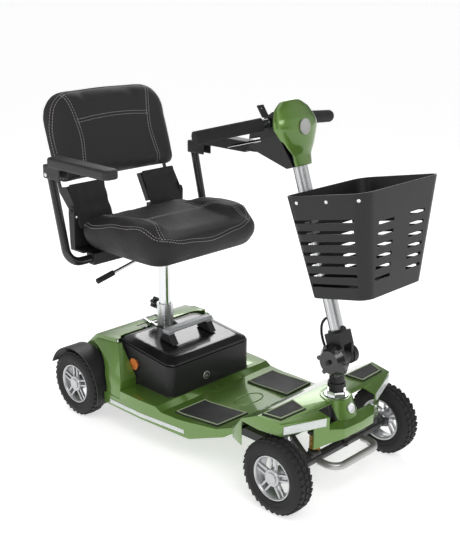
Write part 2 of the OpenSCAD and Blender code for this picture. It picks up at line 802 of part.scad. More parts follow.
module tilt_knob() {
    color("black") translate([pivot_x, 0, pivot_z]) difference() {
        union() {
            translate([0, -ear_y - ear_w - gap, 0]) rotate([90, 0, 0]) cylinder(d = 84, h = 12);
            translate([0, -ear_y - ear_w - gap - 12, 0]) rotate([90, 0, 0])
                cylinder(d1 = 84, d2 = 60, h = 16);
            for (a = [0 : 60 : 300]) rotate([0, a, 0])
                translate([38, -ear_y - ear_w - gap - 2, 0]) rotate([90, 0, 0]) cylinder(d = 12, h = 20);
        }
        pin_y(0, 0, pivot_d + 2 * run_gap, -66, 0);
    }
}

// ---- Controls ----

module ignition_key() {
    color("black") tiller_frame() panel_frame() translate([0, -38, 0]) {
        translate([0, 0, -14]) cylinder(d = 8, h = 20);
        difference() {
            translate([-2, -11, 6]) cube([4, 22, 34]);
            translate([-5, 0, 31]) rotate([0, 90, 0]) cylinder(d = 6, h = 10);
        }
    }
}

module speed_dial() {
    color("black") tiller_frame() panel_frame() {
        translate([0, 0, -14]) cylinder(d = 8, h = 16);
        translate([0, 0, gap]) cylinder(d = 26, h = 10);
        translate([-2, -12, 10]) cube([4, 16, 3]);
    }
}

module horn_button() {
    color("red") tiller_frame() panel_frame() translate([0, 38, -10]) cylinder(d = 12, h = 15);
}

module throttle_lever() {
    color("black") tiller_frame() {
        translate([-74, 0, 562]) cylinder(d = 8, h = 34 - 6);
        translate([-74, 0, 586]) cylinder(d = 24, h = 8);
        both_sides() translate([0, 0, 587]) linear_extrude(5)
            polygon([[-66, 0], [-82, 0], [-92, 60], [-104, 128], [-96, 136], [-88, 130], [-78, 60]]);
    }
}

// ---- Basket ----

module basket_frame() {
    translate(basket_at) rotate([0, -basket_tilt, 0]) children();
}

module basket_solid(i, floor_z, over) {
    hull() {
        translate([0, 0, floor_z]) linear_extrude(1, $fn = 32)
            rounded_plan(i, basket_l - i, basket_low_half - i, 28);
        translate([0, 0, basket_h - 1 + over]) linear_extrude(1, $fn = 32)
            rounded_plan(-flare_rear + i, basket_l + flare_front - i, basket_half - i, 34);
    }
}

module basket() {
    rows = 7;
    pitch = (basket_h - 70) / rows;
    color("black") basket_frame() {
        difference() {
            basket_solid(0, 0, 0);
            basket_solid(basket_wall, basket_wall, 2);
            // side slots, cut through both sides
            for (n = [0 : rows - 1]) translate([18 - n * 2, -250, 30 + n * pitch])
                cube([basket_l - 36 + 7 * n, 500, 8]);
            // slots in the front and the rear walls
            for (n = [0 : rows - 2], s = [-1, 1]) translate([-60, s * 62 - 30, 42 + n * pitch])
                cube([basket_l + flare_front + 80, 60, 8]);
        }
        // tongue that hangs in the bracket
        translate([-22, -tongue_w / 2, 150]) cube([14, tongue_w, 40]);
    }
}

module basket_bracket() {
    color("black") difference() {
        union() {
            tiller_frame() {
                translate([tube_x, 0, 316]) cylinder(d = tiller_d + 10, h = 56);
                translate([tube_x + 10, -18, 316]) cube([34, 36, 56]);
            }
            basket_frame() translate([-36, -34, 140]) cube([24, 68, 46]);
        }
        basket_frame() translate([-22 - gap, -tongue_w / 2 - gap, 150 - gap])
            cube([30, tongue_w + 2 * gap, 100]);
        tiller_frame() translate([tube_x, 0, 200]) cylinder(d = tiller_d, h = 300);
    }
}

// ---- Front axle ----

module front_axle() {
    half = kingpin_y - 18;
    color("gray") difference() {
        union() {
            pin_y(beam_x, axle_z - 4, beam_d, -half, half);
            both_sides() {
                // trailing arm: pivot sleeve, upper run and lower run
                pin_y(arm_pivot_x, arm_pivot_z, arm_pin_d + 14, arm_y - arm_w / 2, arm_y + arm_w / 2);
                bar([arm_pivot_x, arm_y, arm_pivot_z], [front_x - 56, arm_y, arm_pivot_z + 4], arm_w - 2, 16);
                bar([front_x - 60, arm_y, arm_pivot_z + 8], [beam_x - 6, arm_y, axle_z + 4], arm_w - 4, 16);
                // seat of the coil spring
                translate([front_x + 8, spring_y, axle_z + 4]) cylinder(d = 34, h = spring_low - axle_z - 4);
                translate([front_x - 8, spring_y, axle_z + 2]) cube([26, arm_y - spring_y, 14]);
                // fork that holds the kingpin
                translate([beam_x - 20, half - 2, axle_z - 22]) cube([24, 5, 44]);
                for (z = [axle_z - 26, axle_z + 18])
                    translate([0, 0, z]) {
                        translate([front_x, kingpin_y, 0]) cylinder(d = 26, h = 8);
                        translate([front_x - 13, half - 2, 0]) cube([26, kingpin_y - half + 2, 8]);
                    }
            }
        }
        both_sides() translate([front_x, kingpin_y, axle_z - 30])
            cylinder(d = kingpin_d + 2 * run_gap, h = 80);
        pin_y(arm_pivot_x, arm_pivot_z, arm_pin_d + 2 * run_gap, -200, 200);
    }
}

module front_springs() {
    length = spring_top - spring_low - gap;
    color("goldenrod") both_sides() translate([front_x + 8, spring_y, spring_low + gap]) difference() {
        union() {
            cylinder(d = 24, h = length);
            for (n = [0 : 5]) translate([0, 0, 1 + n * (length - 6) / 5]) cylinder(d = 30, h = 4);
        }
        translate([0, 0, -1]) cylinder(d = 16, h = 60);
    }
}

module knuckle() {
    wheel_in = front_track / 2 - tyre_w / 2;
    color("dimgray") {
        translate([front_x, kingpin_y, axle_z - 27]) cylinder(d = kingpin_d, h = 56);
        translate([front_x, kingpin_y, axle_z - 17]) cylinder(d = 28, h = 34);
        pin_y(front_x, axle_z, stub_d + 10, kingpin_y, wheel_in + 3);
        pin_y(front_x, axle_z, stub_d, wheel_in, front_track / 2 + tyre_w / 2 - 12);
        // steering arm, which points forwards
        translate([front_x, kingpin_y - 7, axle_z + 5]) cube([steer_arm, 14, 8]);
        translate([front_x + steer_arm, kingpin_y, axle_z + 5]) cylinder(d = 18, h = 8);
        translate([front_x + steer_arm, kingpin_y, axle_z + 13]) cylinder(d = 8, h = 10);
    }
}

module knuckle_left() knuckle();
module knuckle_right() mirror([0, 1, 0]) knuckle();

module tie_rod() {
    x = front_x + steer_arm;
    color("black") difference() {
        union() {
            rod([x, -kingpin_y, tie_z + 1], [x, kingpin_y, tie_z + 1], 9);
            for (y = [-kingpin_y, kingpin_y]) translate([x, y, axle_z + 13 + gap]) cylinder(d = 18, h = 11);
            translate([x, 0, axle_z + 13 + gap]) cylinder(d = 20, h = 11);
            translate([x, 0, tie_z]) cylinder(d = 9, h = pitman_z + 14 - tie_z);
        }
        for (y = [-kingpin_y, kingpin_y]) translate([x, y, 0]) cylinder(d = 8 + 2 * run_gap, h = 400);
    }
}

// ---- Wheels, drawn with the axle on Y and the outer face towards +Y ----

function tyre_outline() = [
    [rim_d / 2, -tyre_w / 2 + 8], [rim_d / 2 + 6, -tyre_w / 2 + 3], [wheel_r - 22, -tyre_w / 2],
    [wheel_r - 10, -tyre_w / 2 + 3], [wheel_r - 3, -tyre_w / 2 + 10], [wheel_r, -tyre_w / 2 + 20],
    [wheel_r, tyre_w / 2 - 20], [wheel_r - 3, tyre_w / 2 - 10], [wheel_r - 10, tyre_w / 2 - 3],
    [wheel_r - 22, tyre_w / 2], [rim_d / 2 + 6, tyre_w / 2 - 3], [rim_d / 2, tyre_w / 2 - 8]];

module tyre() {
    color("black") rotate([90, 0, 0]) rotate_extrude($fn = 72) polygon(tyre_outline());
}

module rim_body() {
    deep = tyre_w / 2 - 8;
    barrel = rim_d - 2 * gap / 5;
    color("silver") rotate([90, 0, 0]) difference() {
        union() {
            translate([0, 0, -deep]) ring(barrel, barrel - 10, 2 * deep);
            translate([0, 0, -deep - 4]) cylinder(d = 34, h = 2 * deep + 1);
            // outer disc with the cap, spokes are left by the window cuts
            translate([0, 0, -deep + 2]) cylinder(d = barrel - 8, h = 7);
            translate([0, 0, -deep - 4]) cylinder(d = 46, h = 8);
        }
        for (a = [0 : 72 : 288], s = [-15, 15]) rotate(a + s)
            translate([37.5 * rim_d / 122, 0, -deep - 10]) cylinder(d = 15, h = 30);
    }
}

module front_rim() {
    color("silver") difference() {
        rim_body();
        pin_y(0, 0, stub_d + 2 * run_gap, -100, tyre_w / 2 - 12);
    }
}

module rear_rim() {
    color("silver") {
        rim_body();
        pin_y(0, 0, shaft_d, 26 - rear_track / 2, tyre_w / 2 - 12);
    }
}

module wheel_place(x, y, side) {
    translate([x, y, axle_z]) mirror([0, side > 0 ? 0 : 1, 0]) children();
}

// ---- Seat ----

module seat_frame() {
    translate([seat_x, 0, 0]) children();
}

module seat_post() {
    color("silver") seat_frame() translate([0, 0, socket_base + 36])
        ring(post_d, post_d - 6, seat_z - 6 - socket_base - 36);
}

module seat_plate() {
    color("black") seat_frame() difference() {
        union() {
            translate([-172, -120, seat_z - 1]) cube([282, 240, 5]);
            translate([0, 0, hub_low]) cylinder(d = hub_d, h = seat_z - hub_low);
            // sleeves that the armrest tubes slide in
            both_sides() translate([arm_x - 17, 44, arm_z - 17]) cube([34, 156, 33.5]);
            // uprights of the backrest hinge
            both_sides() slab([[-172, seat_z - 1], [-152, seat_z - 1], [-152, seat_z + 4],
                [hinge_x + 14, hinge_z], [hinge_x + 8, hinge_z + 12], [hinge_x - 12, hinge_z + 10],
                [hinge_x - 14, hinge_z - 10], [-174, seat_z + 20]], hinge_y + 6, hinge_y + 12);
            both_sides() translate([-172, 118, seat_z - 1]) cube([60, hinge_y + 12 - 118, 5]);
            // moulded corner covers
            both_sides() slab([[-172, seat_z + 4], [-152, seat_z + 4], [hinge_x + 9, hinge_z - 26],
                [hinge_x - 9, hinge_z - 26]], 80, hinge_y + 6);
            // hinge of the seat lever
            translate([-10, -96, seat_z - 26]) cube([20, 10, 26]);
        }
        translate([0, 0, hub_low - 1]) cylinder(d = post_d + 2 * run_gap, h = seat_z - hub_low);
        both_sides() pin_y(arm_x, arm_z, arm_tube_d + 2 * run_gap, 40, 220);
        both_sides() pin_y(hinge_x, hinge_z, 10 + 2 * run_gap, 100, 300);
        rod([-20, -91, seat_z - 18], [20, -91, seat_z - 18], 6 + 2 * run_gap);
    }
}

module seat_lever() {
    z = seat_z - 18;
    lever_end = [0, -234, z - 28.7];
    grip_start = [0, -196, z - 20.6];
    color("silver") seat_frame() {
        rod([-14, -91, z], [14, -91, z], 6);
        for (x = [-14, 11]) translate([x, -100, z - 6]) cube([3, 18, 12]);
        translate([-14, -104, z - 6]) cube([28, 6, 12]);
        rod([0, -100, z], lever_end, 9);
    }
    color("black") seat_frame() difference() {
        rod(grip_start, [0, -254, z - 33], 16);
        rod([0, -100, z], lever_end, 9);
    }
}

// Rounded outline of the cushion at a height, drawn in by an inset
module cushion_slice(z, inset, h) {
    translate([0, 0, z]) for (s = [-1, 1]) {
        translate([-104, s * (cushion_half - 50), 0]) cylinder(r = 46 - inset, h = h, $fn = 32);
        translate([60, s * (cushion_half - 56), 0]) cylinder(r = 56 - inset, h = h, $fn = 32);
        translate([150, s * (cushion_half - 76), 0]) cylinder(r = 72 - inset, h = h, $fn = 32);
    }
}

module cushion() {
    color("black") seat_frame() {
        hull() {
            cushion_slice(cushion_z, 36, 1);
            cushion_slice(cushion_z + 44, 0, 1);
            cushion_slice(cushion_top - 14, 2, 1);
            cushion_slice(cushion_top - 1, 20, 1);
        }
        // raised sides
        both_sides() hull() {
            translate([-80, cushion_half - 46, cushion_top - 30]) cylinder(r = 38, h = 24, $fn = 32);
            translate([30, cushion_half - 46, cushion_top - 30]) cylinder(r = 42, h = 50, $fn = 32);
            translate([110, cushion_half - 52, cushion_top - 30]) cylinder(r = 42, h = 56, $fn = 32);
            translate([150, cushion_half - 66, cushion_top - 30]) cylinder(r = 52, h = 24, $fn = 32);
        }
    }
}

module back_frame() {
    translate([hinge_x, 0, hinge_z]) rotate([0, -back_lean, 0]) children();
}

module backrest_frame() {
    color("black") seat_frame() back_frame() {
        both_sides() {
            // hinge arm, which runs up behind the pad
            slab([[-13, -8], [-4, -13], [10, -10], [12, 6], [-6, 70], [pad_back - gap, 74],
                  [pad_back - gap, 130], [pad_back - 12, 130], [pad_back - 12, 60]],
                 hinge_y, hinge_y + 5);
            pin_y(0, 0, 10, hinge_y + 3, hinge_y + 15);
            // ribbed moulding under the pad
            difference() {
                slab([[-14, -18], [4, -18], [-10, 72], [-30, 72]], 76, hinge_y);
                for (y = [100 : 30 : 170]) slab([[1, -10], [10, -10], [4, 50], [-8, 50]], y, y + 14);
            }
        }
        translate([pad_back - 12, -hinge_y, 98]) cube([12 - gap, 2 * hinge_y, 24]);
        translate([pad_back - 3 - gap, -140, 90]) cube([3, 280, 240]);
    }
}

module pad_slice(x, inset, h) {
    translate([x, 0, 0]) rotate([0, 90, 0]) {
        for (s = [-1, 1]) {
            translate([-106, s * (pad_half - 26), 0]) cylinder(r = 26 - inset, h = h, $fn = 32);
            translate([-262, s * (pad_half - 92), 0]) cylinder(r = 92 - inset, h = h, $fn = 32);
        }
        translate([-246, 0, 0]) cylinder(r = 112 - inset, h = h, $fn = 32);
    }
}

module backrest_pad() {
    color("black") seat_frame() back_frame() translate([pad_back, 0, 0]) hull() {
        pad_slice(0, 8, 1);
        pad_slice(15, 0, 1);
        pad_slice(31, 2, 1);
        pad_slice(44, 18, 1);
    }
}

module arm_frame() {
    translate([arm_x, 0, arm_z]) rotate([0, -arm_lean, 0]) children();
}

module armrest() {
    color("black") seat_frame() arm_frame() difference() {
        union() {
            pin_y(0, 0, arm_tube_d, 74, post_y - arm_bend);
            translate([0, post_y - arm_bend, arm_bend]) rotate([0, 90, 0])
                rotate_extrude(angle = 90) translate([arm_bend, 0]) circle(d = arm_tube_d);
            translate([0, post_y, arm_bend]) cylinder(d = arm_tube_d, h = arm_post - arm_bend);
            pin_y(0, arm_post, arm_tube_d + 3, post_y - arm_tube_d / 2 + 2, post_y + arm_tube_d / 2 - 2);
        }
        pin_y(0, arm_post, 8, 0, 400);
    }
}

module armrest_left() armrest();
module armrest_right() mirror([0, 1, 0]) armrest();

module arm_pad() {
    // pivot of the pad in the seat frame
    px = arm_x - arm_post * sin(arm_lean);
    pz = arm_z + arm_post * cos(arm_lean);
    side = arm_tube_d / 2 + gap;
    color("black") seat_frame() translate([px, 0, pz]) {
        pin_y(0, 0, 8 - 2 * run_gap, post_y - side - 2, post_y + side + 2);
        both_sides_of(post_y) translate([-16, side, -12]) cube([80, 4, 34]);
        translate([-16, post_y - side - 4, 22]) cube([260, 2 * side + 8, 6]);
        translate([pad_fwd, armrest_y, 28 + gap / 5]) hull() {
            translate([16, -25, 0]) cube([4, 50, 24]);
            for (y = [-10, 10]) translate([262, y, 0]) cylinder(r = 15, h = 24, $fn = 32);
            translate([16, -20, 26]) cube([4, 40, 2]);
            for (y = [-6, 6]) translate([258, y, 27]) cylinder(r = 13, h = 1, $fn = 32);
        }
    }
}

module both_sides_of(y) {
    translate([0, y, 0]) children();
    translate([0, y, 0]) mirror([0, 1, 0]) children();
}

module arm_pad_left() arm_pad();
module arm_pad_right() mirror([0, 1, 0]) arm_pad();

// Wheel nodes
module tyre_front_left() wheel_place(front_x, front_track / 2, 1) tyre();
module tyre_front_right() wheel_place(front_x, -front_track / 2, -1) tyre();
module tyre_rear_left() wheel_place(rear_x, rear_track / 2, 1) tyre();
module tyre_rear_right() wheel_place(rear_x, -rear_track / 2, -1) tyre();
module rim_front_left() wheel_place(front_x, front_track / 2, 1) front_rim();
module rim_front_right() wheel_place(front_x, -front_track / 2, -1) front_rim();

module rim_rear_left() wheel_place(rear_x, rear_track / 2, 1) rear_rim();
module rim_rear_right() wheel_place(rear_x, -rear_track / 2, -1) rear_rim();

main_frame();
column_nut();
deck_cover();
rear_cover();
front_cover();
front_bumper();
floor_mats();
reflective_strips();
seat_socket();
controller();
transaxle();
rear_mudguards();
post_clamp_knob();
release_lever();
freewheel_lever();
anti_tip_wheels();
battery_case();
battery_lid();
battery_handle();
side_reflectors();
battery_cells();
steering_column();
column_neck();
tiller_bracket();
tiller_tube();
head_shroud();
head_housing();
handlebar();
grips();
tiller_cable();
basket_bracket();
tilt_knob();
throttle_lever();
ignition_key();
speed_dial();
horn_button();
basket();
front_axle();
front_springs();
knuckle_left();
knuckle_right();
tie_rod();
tyre_front_left();
tyre_front_right();
tyre_rear_left();
tyre_rear_right();
rim_front_left();
rim_front_right();
rim_rear_left();
rim_rear_right();
seat_post();
seat_plate();
seat_lever();
cushion();
backrest_frame();
backrest_pad();
armrest_left();
armrest_right();
arm_pad_left();
arm_pad_right();
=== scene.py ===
import json
import math

import bmesh
import bpy
import numpy as np
from mathutils import Matrix, Vector
from mathutils.bvhtree import BVHTree


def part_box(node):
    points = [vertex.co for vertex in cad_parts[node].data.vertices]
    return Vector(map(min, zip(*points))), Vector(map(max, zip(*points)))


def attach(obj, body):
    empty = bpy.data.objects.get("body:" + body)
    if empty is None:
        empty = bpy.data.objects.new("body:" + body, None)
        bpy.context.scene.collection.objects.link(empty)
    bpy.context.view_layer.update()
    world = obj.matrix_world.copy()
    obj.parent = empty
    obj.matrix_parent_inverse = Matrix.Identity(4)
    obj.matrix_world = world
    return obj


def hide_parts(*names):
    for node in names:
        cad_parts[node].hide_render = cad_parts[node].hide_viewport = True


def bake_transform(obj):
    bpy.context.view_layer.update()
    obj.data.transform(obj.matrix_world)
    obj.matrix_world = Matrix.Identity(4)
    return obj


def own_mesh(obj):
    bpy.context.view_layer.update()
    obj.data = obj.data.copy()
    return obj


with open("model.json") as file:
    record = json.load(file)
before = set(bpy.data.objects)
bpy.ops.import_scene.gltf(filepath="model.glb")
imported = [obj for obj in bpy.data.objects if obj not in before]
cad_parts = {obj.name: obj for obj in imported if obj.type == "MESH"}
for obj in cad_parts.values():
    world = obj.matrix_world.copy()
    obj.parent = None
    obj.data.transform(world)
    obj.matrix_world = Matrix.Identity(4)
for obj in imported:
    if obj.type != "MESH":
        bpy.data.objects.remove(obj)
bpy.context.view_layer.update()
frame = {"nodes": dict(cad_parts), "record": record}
NODES = frame["nodes"]

# Colour sockets of a Mix node
MIX_FACTOR, MIX_A, MIX_B = 0, 6, 7
MIX_RESULT = 2

# ---- Camera, lights and floor ----

CAMERA_AT = (1.76949, -1.79901, 1.31941)
LOOK = Vector((-0.65663, 0.67169, -0.34303))
ROLL = math.radians(0.33)


def aim(look, roll=0.0):
    turn = look.normalized().to_track_quat("-Z", "Y").to_matrix().to_4x4()
    return turn @ Matrix.Rotation(roll, 4, "Z")


camera_data = bpy.data.cameras.new("camera")
camera_data.lens = 62.01
camera_data.sensor_width = 36.0
camera_data.shift_x = -0.0019
camera_data.shift_y = 0.0596
camera_data.clip_end = 300.0
camera = bpy.data.objects.new("camera", camera_data)
bpy.context.scene.collection.objects.link(camera)
camera.matrix_world = Matrix.Translation(CAMERA_AT) @ aim(LOOK, ROLL)
bpy.context.scene.camera = camera


def area_light(name, place, target, power, side):
    data = bpy.data.lights.new(name, "AREA")
    data.energy = power
    data.shape = "SQUARE"
    data.size = side
    lamp = bpy.data.objects.new(name, data)
    bpy.context.scene.collection.objects.link(lamp)
    lamp.matrix_world = Matrix.Translation(place) @ aim(Vector(target) - Vector(place))


area_light("key", (2.6, -1.2, 3.2), (0, 0, 0.4), 42, 1.8)
area_light("fill", (-1.0, -3.2, 1.8), (0, 0, 0.5), 14, 2.2)
area_light("rim", (-2.2, 2.4, 2.6), (0, 0, 0.6), 30, 1.6)

# Where each wall starts across the room, and its grey
WALL_STOPS = ((0.22, 0.10), (0.36, 0.12), (0.45, 0.95), (0.58, 0.9), (0.68, 0.10), (0.82, 0.14))
FIRST_WALL = 0.75
LAST_WALL = 0.8

world = bpy.data.worlds.new("studio")
world.use_nodes = True
backdrop = world.node_tree.nodes["Background"]


def studio_walls(tree):
    """Light and dark walls around the object, in front of a plain white backdrop."""
    place = tree.nodes.new("ShaderNodeTexCoord")
    across = tree.nodes.new("ShaderNodeVectorMath")
    across.operation = "DOT_PRODUCT"
    across.inputs[1].default_value = (0.72, 0.66, 0.2)
    tree.links.new(place.outputs["Generated"], across.inputs[0])
    level = tree.nodes.new("ShaderNodeMapRange")
    level.inputs["From Min"].default_value = -1.0
    tree.links.new(across.outputs["Value"], level.inputs["Value"])
    walls = tree.nodes.new("ShaderNodeValToRGB")
    stops = walls.color_ramp.elements
    stops[0].color = (FIRST_WALL, FIRST_WALL, FIRST_WALL, 1)
    stops[1].color = (LAST_WALL, LAST_WALL, LAST_WALL, 1)
    for at, grey in WALL_STOPS:
        stops.new(at).color = (grey, grey, grey, 1)
    tree.links.new(level.outputs["Result"], walls.inputs["Fac"])
    seen = tree.nodes.new("ShaderNodeLightPath")
    choose = tree.nodes.new("ShaderNodeMix")
    choose.data_type = "RGBA"
    choose.inputs[MIX_B].default_value = (1.0, 1.0, 1.0, 1.0)
    tree.links.new(seen.outputs["Is Camera Ray"], choose.inputs[MIX_FACTOR])
    tree.links.new(walls.outputs["Color"], choose.inputs[MIX_A])
    tree.links.new(choose.outputs[MIX_RESULT], backdrop.inputs["Color"])


studio_walls(world.node_tree)
bpy.context.scene.world = world
bpy.context.scene.view_settings.view_transform = "Standard"

# ---- Node groups ----


def new_group(name, inputs, outputs):
    tree = bpy.data.node_groups.new(name, "ShaderNodeTree")
    for label, kind, value in inputs:
        socket = tree.interface.new_socket(name=label, in_out="INPUT", socket_type="NodeSocket" + kind)
        socket.default_value = value
    for label, kind in outputs:
        tree.interface.new_socket(name=label, in_out="OUTPUT", socket_type="NodeSocket" + kind)
    return tree, tree.nodes.new("NodeGroupInput"), tree.nodes.new("NodeGroupOutput")


OUTPUTS = [("Colour", "Color"), ("Roughness", "Float"), ("Normal", "Vector")]
COMMON = [("Colour", "Color", (0.5, 0.5, 0.5, 1)), ("Second Colour", "Color", (0.5, 0.5, 0.5, 1)),
          ("Low Roughness", "Float", 0.3), ("High Roughness", "Float", 0.5),
          ("Patch Scale", "Float", 12.0), ("Grain Scale", "Float", 900.0), ("Grain Depth", "Float", 0.0002)]


def patchy(tree, given, made, height, colour_mask=None):
    """Colour and roughness that drift in soft patches, or a colour from a mask, and a normal from a height."""
    link = tree.links.new
    place = tree.nodes.new("ShaderNodeTexCoord")
    patch = tree.nodes.new("ShaderNodeTexNoise")
    patch.inputs["Detail"].default_value = 6.0
    link(place.outputs["Object"], patch.inputs["Vector"])
    link(given.outputs["Patch Scale"], patch.inputs["Scale"])
    mix = tree.nodes.new("ShaderNodeMix")
    mix.data_type = "RGBA"
    link(colour_mask or patch.outputs["Fac"], mix.inputs[MIX_FACTOR])
    link(given.outputs["Colour"], mix.inputs[MIX_A])
    link(given.outputs["Second Colour"], mix.inputs[MIX_B])
    link(mix.outputs[MIX_RESULT], made.inputs["Colour"])
    rough = tree.nodes.new("ShaderNodeMapRange")
    rough.inputs["From Min"].default_value = 0.3
    rough.inputs["From Max"].default_value = 0.7
    link(patch.outputs["Fac"], rough.inputs["Value"])
    link(given.outputs["Low Roughness"], rough.inputs["To Min"])
    link(given.outputs["High Roughness"], rough.inputs["To Max"])
    link(rough.outputs["Result"], made.inputs["Roughness"])
    bump = tree.nodes.new("ShaderNodeBump")
    bump.inputs["Strength"].default_value = 1.0
    link(given.outputs["Grain Depth"], bump.inputs["Distance"])
    link(height, bump.inputs["Height"])
    link(bump.outputs["Normal"], made.inputs["Normal"])


def grain_group():
    tree, given, made = new_group("fine_grain", COMMON, OUTPUTS)
    place = tree.nodes.new("ShaderNodeTexCoord")
    grain = tree.nodes.new("ShaderNodeTexNoise")
    grain.inputs["Detail"].default_value = 4.0
    tree.links.new(place.outputs["Object"], grain.inputs["Vector"])
    tree.links.new(given.outputs["Grain Scale"], grain.inputs["Scale"])
    patchy(tree, given, made, grain.outputs["Fac"])
    return tree


def leather_group():
    tree, given, made = new_group("leather_grain", COMMON, OUTPUTS)
    place = tree.nodes.new("ShaderNodeTexCoord")
    cells = tree.nodes.new("ShaderNodeTexVoronoi")
    cells.feature = "DISTANCE_TO_EDGE"
    tree.links.new(place.outputs["Object"], cells.inputs["Vector"])
    tree.links.new(given.outputs["Grain Scale"], cells.inputs["Scale"])
    level = tree.nodes.new("ShaderNodeMapRange")
    level.inputs["From Max"].default_value = 0.18
    tree.links.new(cells.outputs["Distance"], level.inputs["Value"])
    patchy(tree, given, made, level.outputs["Result"])
    return tree


def brushed_group():
    tree, given, made = new_group("drawn_metal", COMMON, OUTPUTS)
    place = tree.nodes.new("ShaderNodeTexCoord")
    stretch = tree.nodes.new("ShaderNodeMapping")
    stretch.inputs["Scale"].default_value = (1.0, 1.0, 0.06)
    lines = tree.nodes.new("ShaderNodeTexNoise")
    lines.inputs["Detail"].default_value = 5.0
    tree.links.new(place.outputs["Object"], stretch.inputs["Vector"])
    tree.links.new(stretch.outputs["Vector"], lines.inputs["Vector"])
    tree.links.new(given.outputs["Grain Scale"], lines.inputs["Scale"])
    patchy(tree, given, made, lines.outputs["Fac"])
    return tree


def ribbed_group():
    tree, given, made = new_group("moulded_ribs", COMMON, OUTPUTS)
    place = tree.nodes.new("ShaderNodeTexCoord")
    turn = tree.nodes.new("ShaderNodeMapping")
    turn.inputs["Rotation"].default_value = (0.0, 0.0, math.radians(32))
    ribs = tree.nodes.new("ShaderNodeTexWave")
    ribs.inputs["Distortion"].default_value = 0.0
    tree.links.new(place.outputs["Object"], turn.inputs["Vector"])
    tree.links.new(turn.outputs["Vector"], ribs.inputs["Vector"])
    tree.links.new(given.outputs["Grain Scale"], ribs.inputs["Scale"])
    # The colour follows the rib height: painted shade darkens the grooves and a painted highlight lightens the
    # crests
    patchy(tree, given, made, ribs.outputs["Fac"], ribs.outputs["Fac"])
    return tree


GRAIN = grain_group()
LEATHER = leather_group()
DRAWN = brushed_group()
RIBBED = ribbed_group()


def finish_of(name, group, colour, second, rough, patch, grain, depth, metal=0.0, coat=0.0, **plain):
    """A material with a node group's detail; plain values go to the shader's own sockets."""
    material = bpy.data.materials.new(name)
    material.use_nodes = True
    tree = material.node_tree
    shader = tree.nodes["Principled BSDF"]
    detail = tree.nodes.new("ShaderNodeGroup")
    detail.node_tree = group
    values = {"Colour": (*colour, 1), "Second Colour": (*second, 1), "Low Roughness": rough[0],
              "High Roughness": rough[1], "Patch Scale": patch, "Grain Scale": grain, "Grain Depth": depth}
    for label, value in values.items():
        detail.inputs[label].default_value = value
    tree.links.new(detail.outputs["Colour"], shader.inputs["Base Color"])
    tree.links.new(detail.outputs["Roughness"], shader.inputs["Roughness"])
    tree.links.new(detail.outputs["Normal"], shader.inputs["Normal"])
    shader.inputs["Metallic"].default_value = metal
    shader.inputs["Coat Weight"].default_value = coat
    shader.inputs["Coat Roughness"].default_value = 0.06
    for label, value in plain.items():
        shader.inputs[label.replace("_", " ")].default_value = value
    return material


green_paint = finish_of("green_paint", GRAIN, (0.112, 0.228, 0.032), (0.134, 0.262, 0.042),
                        (0.24, 0.34), 5, 5200, 0.00004, metal=0.35, coat=1.0)
pale_piping = finish_of("pale_piping", GRAIN, (0.42, 0.52, 0.30), (0.36, 0.46, 0.26),
                        (0.4, 0.5), 30, 900, 0.0001)
frame_black = finish_of("frame_black", GRAIN, (0.022, 0.022, 0.024), (0.036, 0.036, 0.038),
                        (0.32, 0.48), 9, 1500, 0.00015)
tube_black = finish_of("tube_black", GRAIN, (0.010, 0.010, 0.011), (0.018, 0.018, 0.019),
                       (0.16, 0.28), 9, 1400, 0.00006, coat=0.5)
moulded_black = finish_of("moulded_black", GRAIN, (0.014, 0.014, 0.015), (0.024, 0.024, 0.025),
                          (0.38, 0.52), 7, 1700, 0.00022, Specular_IOR_Level=0.35)
basket_black = finish_of("basket_black", GRAIN, (0.012, 0.012, 0.013), (0.020, 0.020, 0.021),
                         (0.30, 0.42), 8, 1500, 0.00014, Specular_IOR_Level=0.32)
gloss_black = finish_of("gloss_black", GRAIN, (0.010, 0.010, 0.011), (0.016, 0.016, 0.017),
                        (0.14, 0.24), 8, 1200, 0.00008, coat=0.4)
arm_vinyl = finish_of("arm_vinyl", LEATHER, (0.017, 0.015, 0.015), (0.027, 0.024, 0.024),
                      (0.34, 0.46), 14, 620, 0.00025)
seat_vinyl = finish_of("seat_vinyl", LEATHER, (0.020, 0.0185, 0.0195), (0.034, 0.031, 0.033),
                       (0.46, 0.60), 11, 520, 0.00035, Specular_IOR_Level=0.32)
thread = finish_of("thread", DRAWN, (0.38, 0.37, 0.36), (0.50, 0.49, 0.48), (0.6, 0.75), 60, 2400, 0.0002)
foam_grip = finish_of("foam_grip", GRAIN, (0.014, 0.014, 0.015), (0.024, 0.024, 0.025),
                      (0.75, 0.9), 18, 1300, 0.0007, Specular_IOR_Level=0.3)
# The darker colour is painted shade in the rib grooves, the lighter one a painted highlight on the rib crests
mat_rubber = finish_of("mat_rubber", RIBBED, (0.016, 0.016, 0.017), (0.045, 0.045, 0.047),
                       (0.5, 0.65), 14, 62, 0.0009)
tyre_rubber = finish_of("tyre_rubber", GRAIN, (0.017, 0.017, 0.018), (0.032, 0.031, 0.031),
                        (0.6, 0.8), 14, 900, 0.0003, Specular_IOR_Level=0.3)
silver_paint = finish_of("silver_paint", GRAIN, (0.50, 0.51, 0.52), (0.60, 0.61, 0.62),
                         (0.28, 0.40), 14, 2600, 0.00006, metal=0.75, coat=0.3)
alloy = finish_of("alloy", DRAWN, (0.62, 0.63, 0.64), (0.74, 0.75, 0.76),
                  (0.22, 0.36), 12, 1900, 0.00005, metal=1.0)
chrome = finish_of("chrome", GRAIN, (0.72, 0.73, 0.74), (0.80, 0.81, 0.82),
                   (0.06, 0.14), 12, 800, 0.00002, metal=1.0)
satin_silver = finish_of("satin_silver", GRAIN, (0.44, 0.44, 0.43), (0.54, 0.54, 0.53), (0.34, 0.46), 14, 1300,
                         0.0001, metal=0.8)
grip_silver = finish_of("grip_silver", GRAIN, (0.34, 0.35, 0.36), (0.44, 0.45, 0.46), (0.34, 0.48), 18, 1800,
                        0.00012, metal=0.25)
